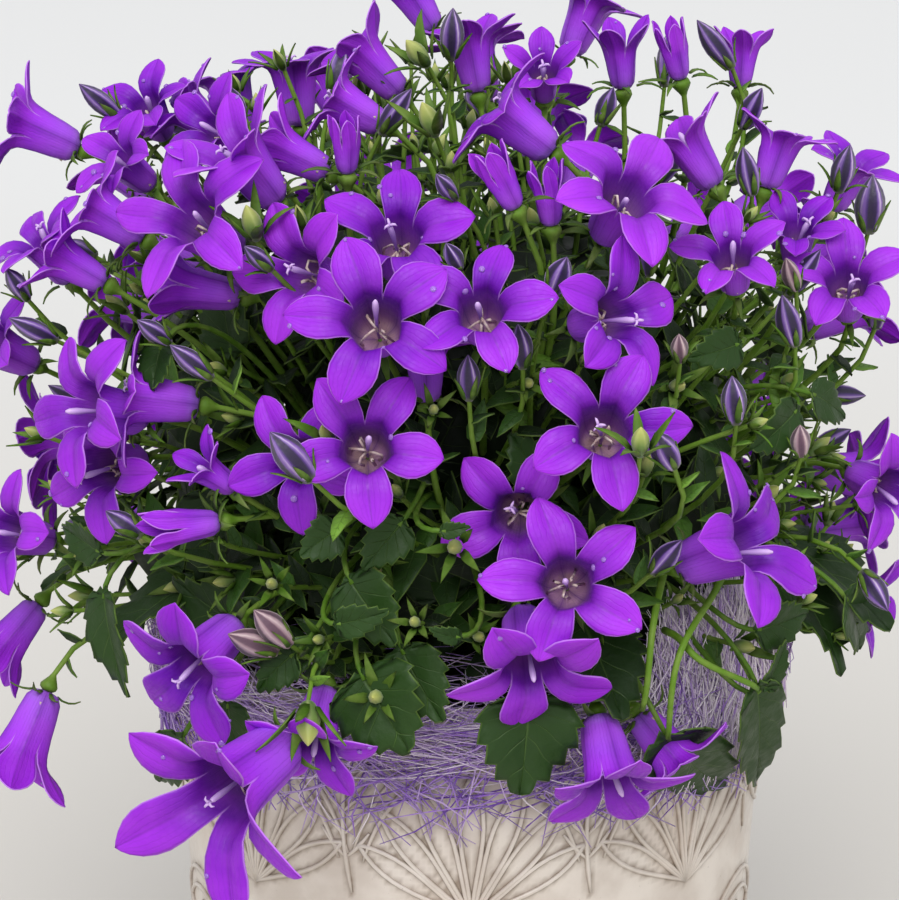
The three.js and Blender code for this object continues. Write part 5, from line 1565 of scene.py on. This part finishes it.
def make_relief(material):
    """The raised lines, as slim rods half sunk in the wall."""
    piece = Piece("wash")
    for line in relief_lines():
        kept = line[(line[:, 1] > RELIEF_HEIGHTS[0]) & (line[:, 1] < RELIEF_HEIGHTS[1])]
        ends = np.minimum(np.arange(len(kept)), np.arange(len(kept))[::-1])
        girth = RELIEF_GIRTH * (0.55 + 0.45 * smooth(ends / 2))
        for fan in range(FANS):
            angle = FRONT + TAU * fan / FANS + kept[:, 0] / ARC_RADIUS
            path = polar(wall_radius(kept[:, 1]) + 0.05, angle, kept[:, 1])
            shell = sweep(path[None], girth[None], RELIEF_SIDES)
            away = (shell[0].reshape(-1, RELIEF_SIDES, 3) - path[:, None]) / girth[:, None, None]
            outward = np.sum(away * polar(1, angle, 0)[:, None], axis=-1)
            # The rods darken from their crests towards the wall: partly patina, partly painted shade.
            piece.add(shell, wash=np.clip(1.2 - 1.3 * outward, 0, 1).ravel())
    piece.build("glaze_relief", material, ["cover_pot"])


def make_pot(material):
    rows, each = (POT_ROWS, FAN_COLUMNS) if FINE else (DRAFT_POT_ROWS, DRAFT_FAN_COLUMNS)
    outline, columns = pot_outline(rows), each * FANS
    wall = slice(len(POT_FOOT), len(POT_FOOT) + rows)
    arc = (np.arange(each) / each - 0.5) * FAN_PITCH
    wash = relief_wash(np.tile(arc, rows), np.repeat(outline[wall, 1], each)).reshape(rows, each)
    shade = np.zeros((len(outline), columns))
    shade[wall] = np.tile(wash, (1, FANS))
    inner = slice(1, len(outline) - 1)
    angle = FRONT + TAU / FANS * (np.arange(columns) / each - 0.5)
    ring = polar(outline[inner, :1], angle, outline[inner, 1:])
    points = np.concatenate([ring.reshape(-1, 3), [[0, 0, outline[0, 1]], [0, 0, outline[-1, 1]]]])
    rings = len(outline) - 2
    here = np.arange(columns)
    ahead = (here + 1) % columns
    low, last = rings * columns, (rings - 1) * columns
    tris = np.concatenate([np.stack([np.full(columns, low), ahead, here], -1),
                           np.stack([last + here, last + ahead, np.full(columns, low + 1)], -1)])
    piece = Piece("wash")
    piece.add((points, grid_quads(rings, columns, wrap=True), tris),
              wash=np.append(shade[inner], [0, 0]))
    piece.build("glazed_pot", material, ["cover_pot"])
    make_relief(material)


# Water drops

DROP_CLEARANCE = 2
DROP_RINGS, DROP_SIDES = 4, 8
MOST_DROPS = 8


def drop_shell(place, up, size):
    """A flattened dome, whose last ring is sunk a little and narrower."""
    tilt = np.linspace(0.12, math.pi / 2, DROP_RINGS)[:, None]
    angle = np.arange(DROP_SIDES) * TAU / DROP_SIDES
    dome = polar(np.sin(tilt) * size, angle, np.cos(tilt) * 0.6 * size)
    foot = polar(np.array([[0.8 * size]]), angle, np.array([[-0.12]]))
    axes = axes_of(up, np.array([0.3, 0.5, 0.8]))
    points = np.concatenate([dome, foot]).reshape(-1, 3) @ axes + place
    quads = grid_quads(DROP_RINGS + 1, DROP_SIDES, wrap=True)[:, ::-1]
    return points, quads, end_faces(DROP_SIDES, DROP_RINGS * DROP_SIDES, turned=True)


def make_drops(blooms, material):
    """Small domes of water on the petals' inner faces, in the blooms that the eye sees."""
    random = np.random.default_rng(97)
    piece = Piece("along")
    for number, bloom in enumerate(blooms):
        if bloom["name"][0] in "rs":
            continue
        points = numbered_bloom(number, bloom)[0][0]
        sheet = points[:len(points) // 2]
        outward = point_normals(sheet, BLOOM_QUADS, BLOOM_TRIS)
        taken = np.zeros((0, 3))
        for _ in range(random.integers(1, MOST_DROPS + 1)):
            spot = random.integers(TUBE_POINTS, len(sheet) - LOBES)
            size = 0.35 + 0.4 * random.random()
            if np.any(np.linalg.norm(taken - sheet[spot], axis=1) < DROP_CLEARANCE):
                continue
            taken = np.vstack([taken, sheet[spot]])
            piece.add(drop_shell(sheet[spot], -outward[spot], size))
    piece.build("water_drops", material)


# Stage, light and camera

FLOOR_HALF = 9000
FLOOR_HEIGHTS = (-0.2, -30.2)
KEY_PLACE = (-0.05, -0.9, 0.95)
KEY_AIM = (0, 0, 0.19)


def make_stage():
    corners = [(-FLOOR_HALF, -FLOOR_HALF), (FLOOR_HALF, -FLOOR_HALF),
               (FLOOR_HALF, FLOOR_HALF), (-FLOOR_HALF, FLOOR_HALF)]
    points = [(x * MM, y * MM, height * MM) for height in FLOOR_HEIGHTS for x, y in corners]
    faces = [(0, 1, 2, 3), (7, 6, 5, 4), (0, 4, 5, 1), (1, 5, 6, 2), (2, 6, 7, 3), (3, 7, 4, 0)]
    mesh = bpy.data.meshes.new("floor")
    mesh.from_pydata(points, [], faces)
    mesh.materials.append(floor_finish())
    stage = linked("floor", mesh)


def make_light():
    """A pale sky, a soft sun and a disk of light over the eye. Places are in metres."""
    world = bpy.data.worlds.new("studio")
    bpy.context.scene.world = world
    world.use_nodes = True
    sky = world.node_tree.nodes["Background"]
    sky.inputs["Color"].default_value = (0.97, 0.98, 1, 1)
    sky.inputs["Strength"].default_value = 0.72
    sun = bpy.data.lights.new("sun", "SUN")
    sun.energy = 1.2
    sun.angle = math.radians(55)
    linked("sun", sun).rotation_euler = (math.radians(38), math.radians(-3), 0)
    key = bpy.data.lights.new("key", "AREA")
    key.shape = "DISK"
    key.size = 0.7
    key.energy = 6
    lamp = linked("key", key)
    lamp.location = KEY_PLACE
    toward = np.array(KEY_AIM) - np.array(KEY_PLACE)
    lamp.rotation_euler = Vector(toward).to_track_quat("-Z", "Y").to_euler()
    bpy.context.scene.view_settings.view_transform = "Standard"


def make_camera():
    data = bpy.data.cameras.new("camera")
    data.sensor_width = 36
    data.lens = FOCAL_PIXELS / PICTURE_SIDE * data.sensor_width
    data.clip_start = 0.01
    data.clip_end = 50
    camera = linked("camera", data)
    camera.location = EYE * MM
    camera.rotation_euler = (math.pi / 2 - EYE_PITCH, 0, 0)
    bpy.context.scene.camera = camera


# Assembly

def dress(node, material):
    """Gives a node of the model a material and keeps its faces flat."""
    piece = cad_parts[node]
    if not piece.material_slots:
        piece.data.materials.append(material)
    for held in piece.material_slots:
        held.link = "OBJECT"
        held.material = material
    for face in piece.data.polygons:
        face.use_smooth = False


make_camera()
make_light()
make_stage()
blooms = spread_blooms([placed_bloom(*row) for row in SEEN_BLOOMS])
for bloom in blooms:
    bloom.update(OWN_SHAPES.get(bloom["name"], {}))
stem, bud = stem_finish(), bud_finish()
blooms = blooms + filling_blooms(blooms)
half_open = half_open_blooms()
make_blooms(blooms + half_open, petal_finish())
make_hearts(blooms, heart_finish())
bloom_stalks = make_calyxes(blooms + half_open, stem)
bud_random = np.random.default_rng(53)
grown_buds = bud_list(bud_random)
make_buds(grown_buds, bud, "buds")
bud_stalks = make_bud_stalks(grown_buds, stem, "bud_stalks", bud_random)
shoots = make_shoots(blooms, stem, bud)
make_leaves(blooms, np.concatenate([bloom_stalks, bud_stalks, shoots]), leaf_finish(), stem)
make_sisal(sisal_finish())
make_pot(glaze_finish())
make_drops(blooms, water_finish())
dress("soil", soil_finish())
dress("nursery_pot", plastic_finish())

bpy.context.view_layer.update()
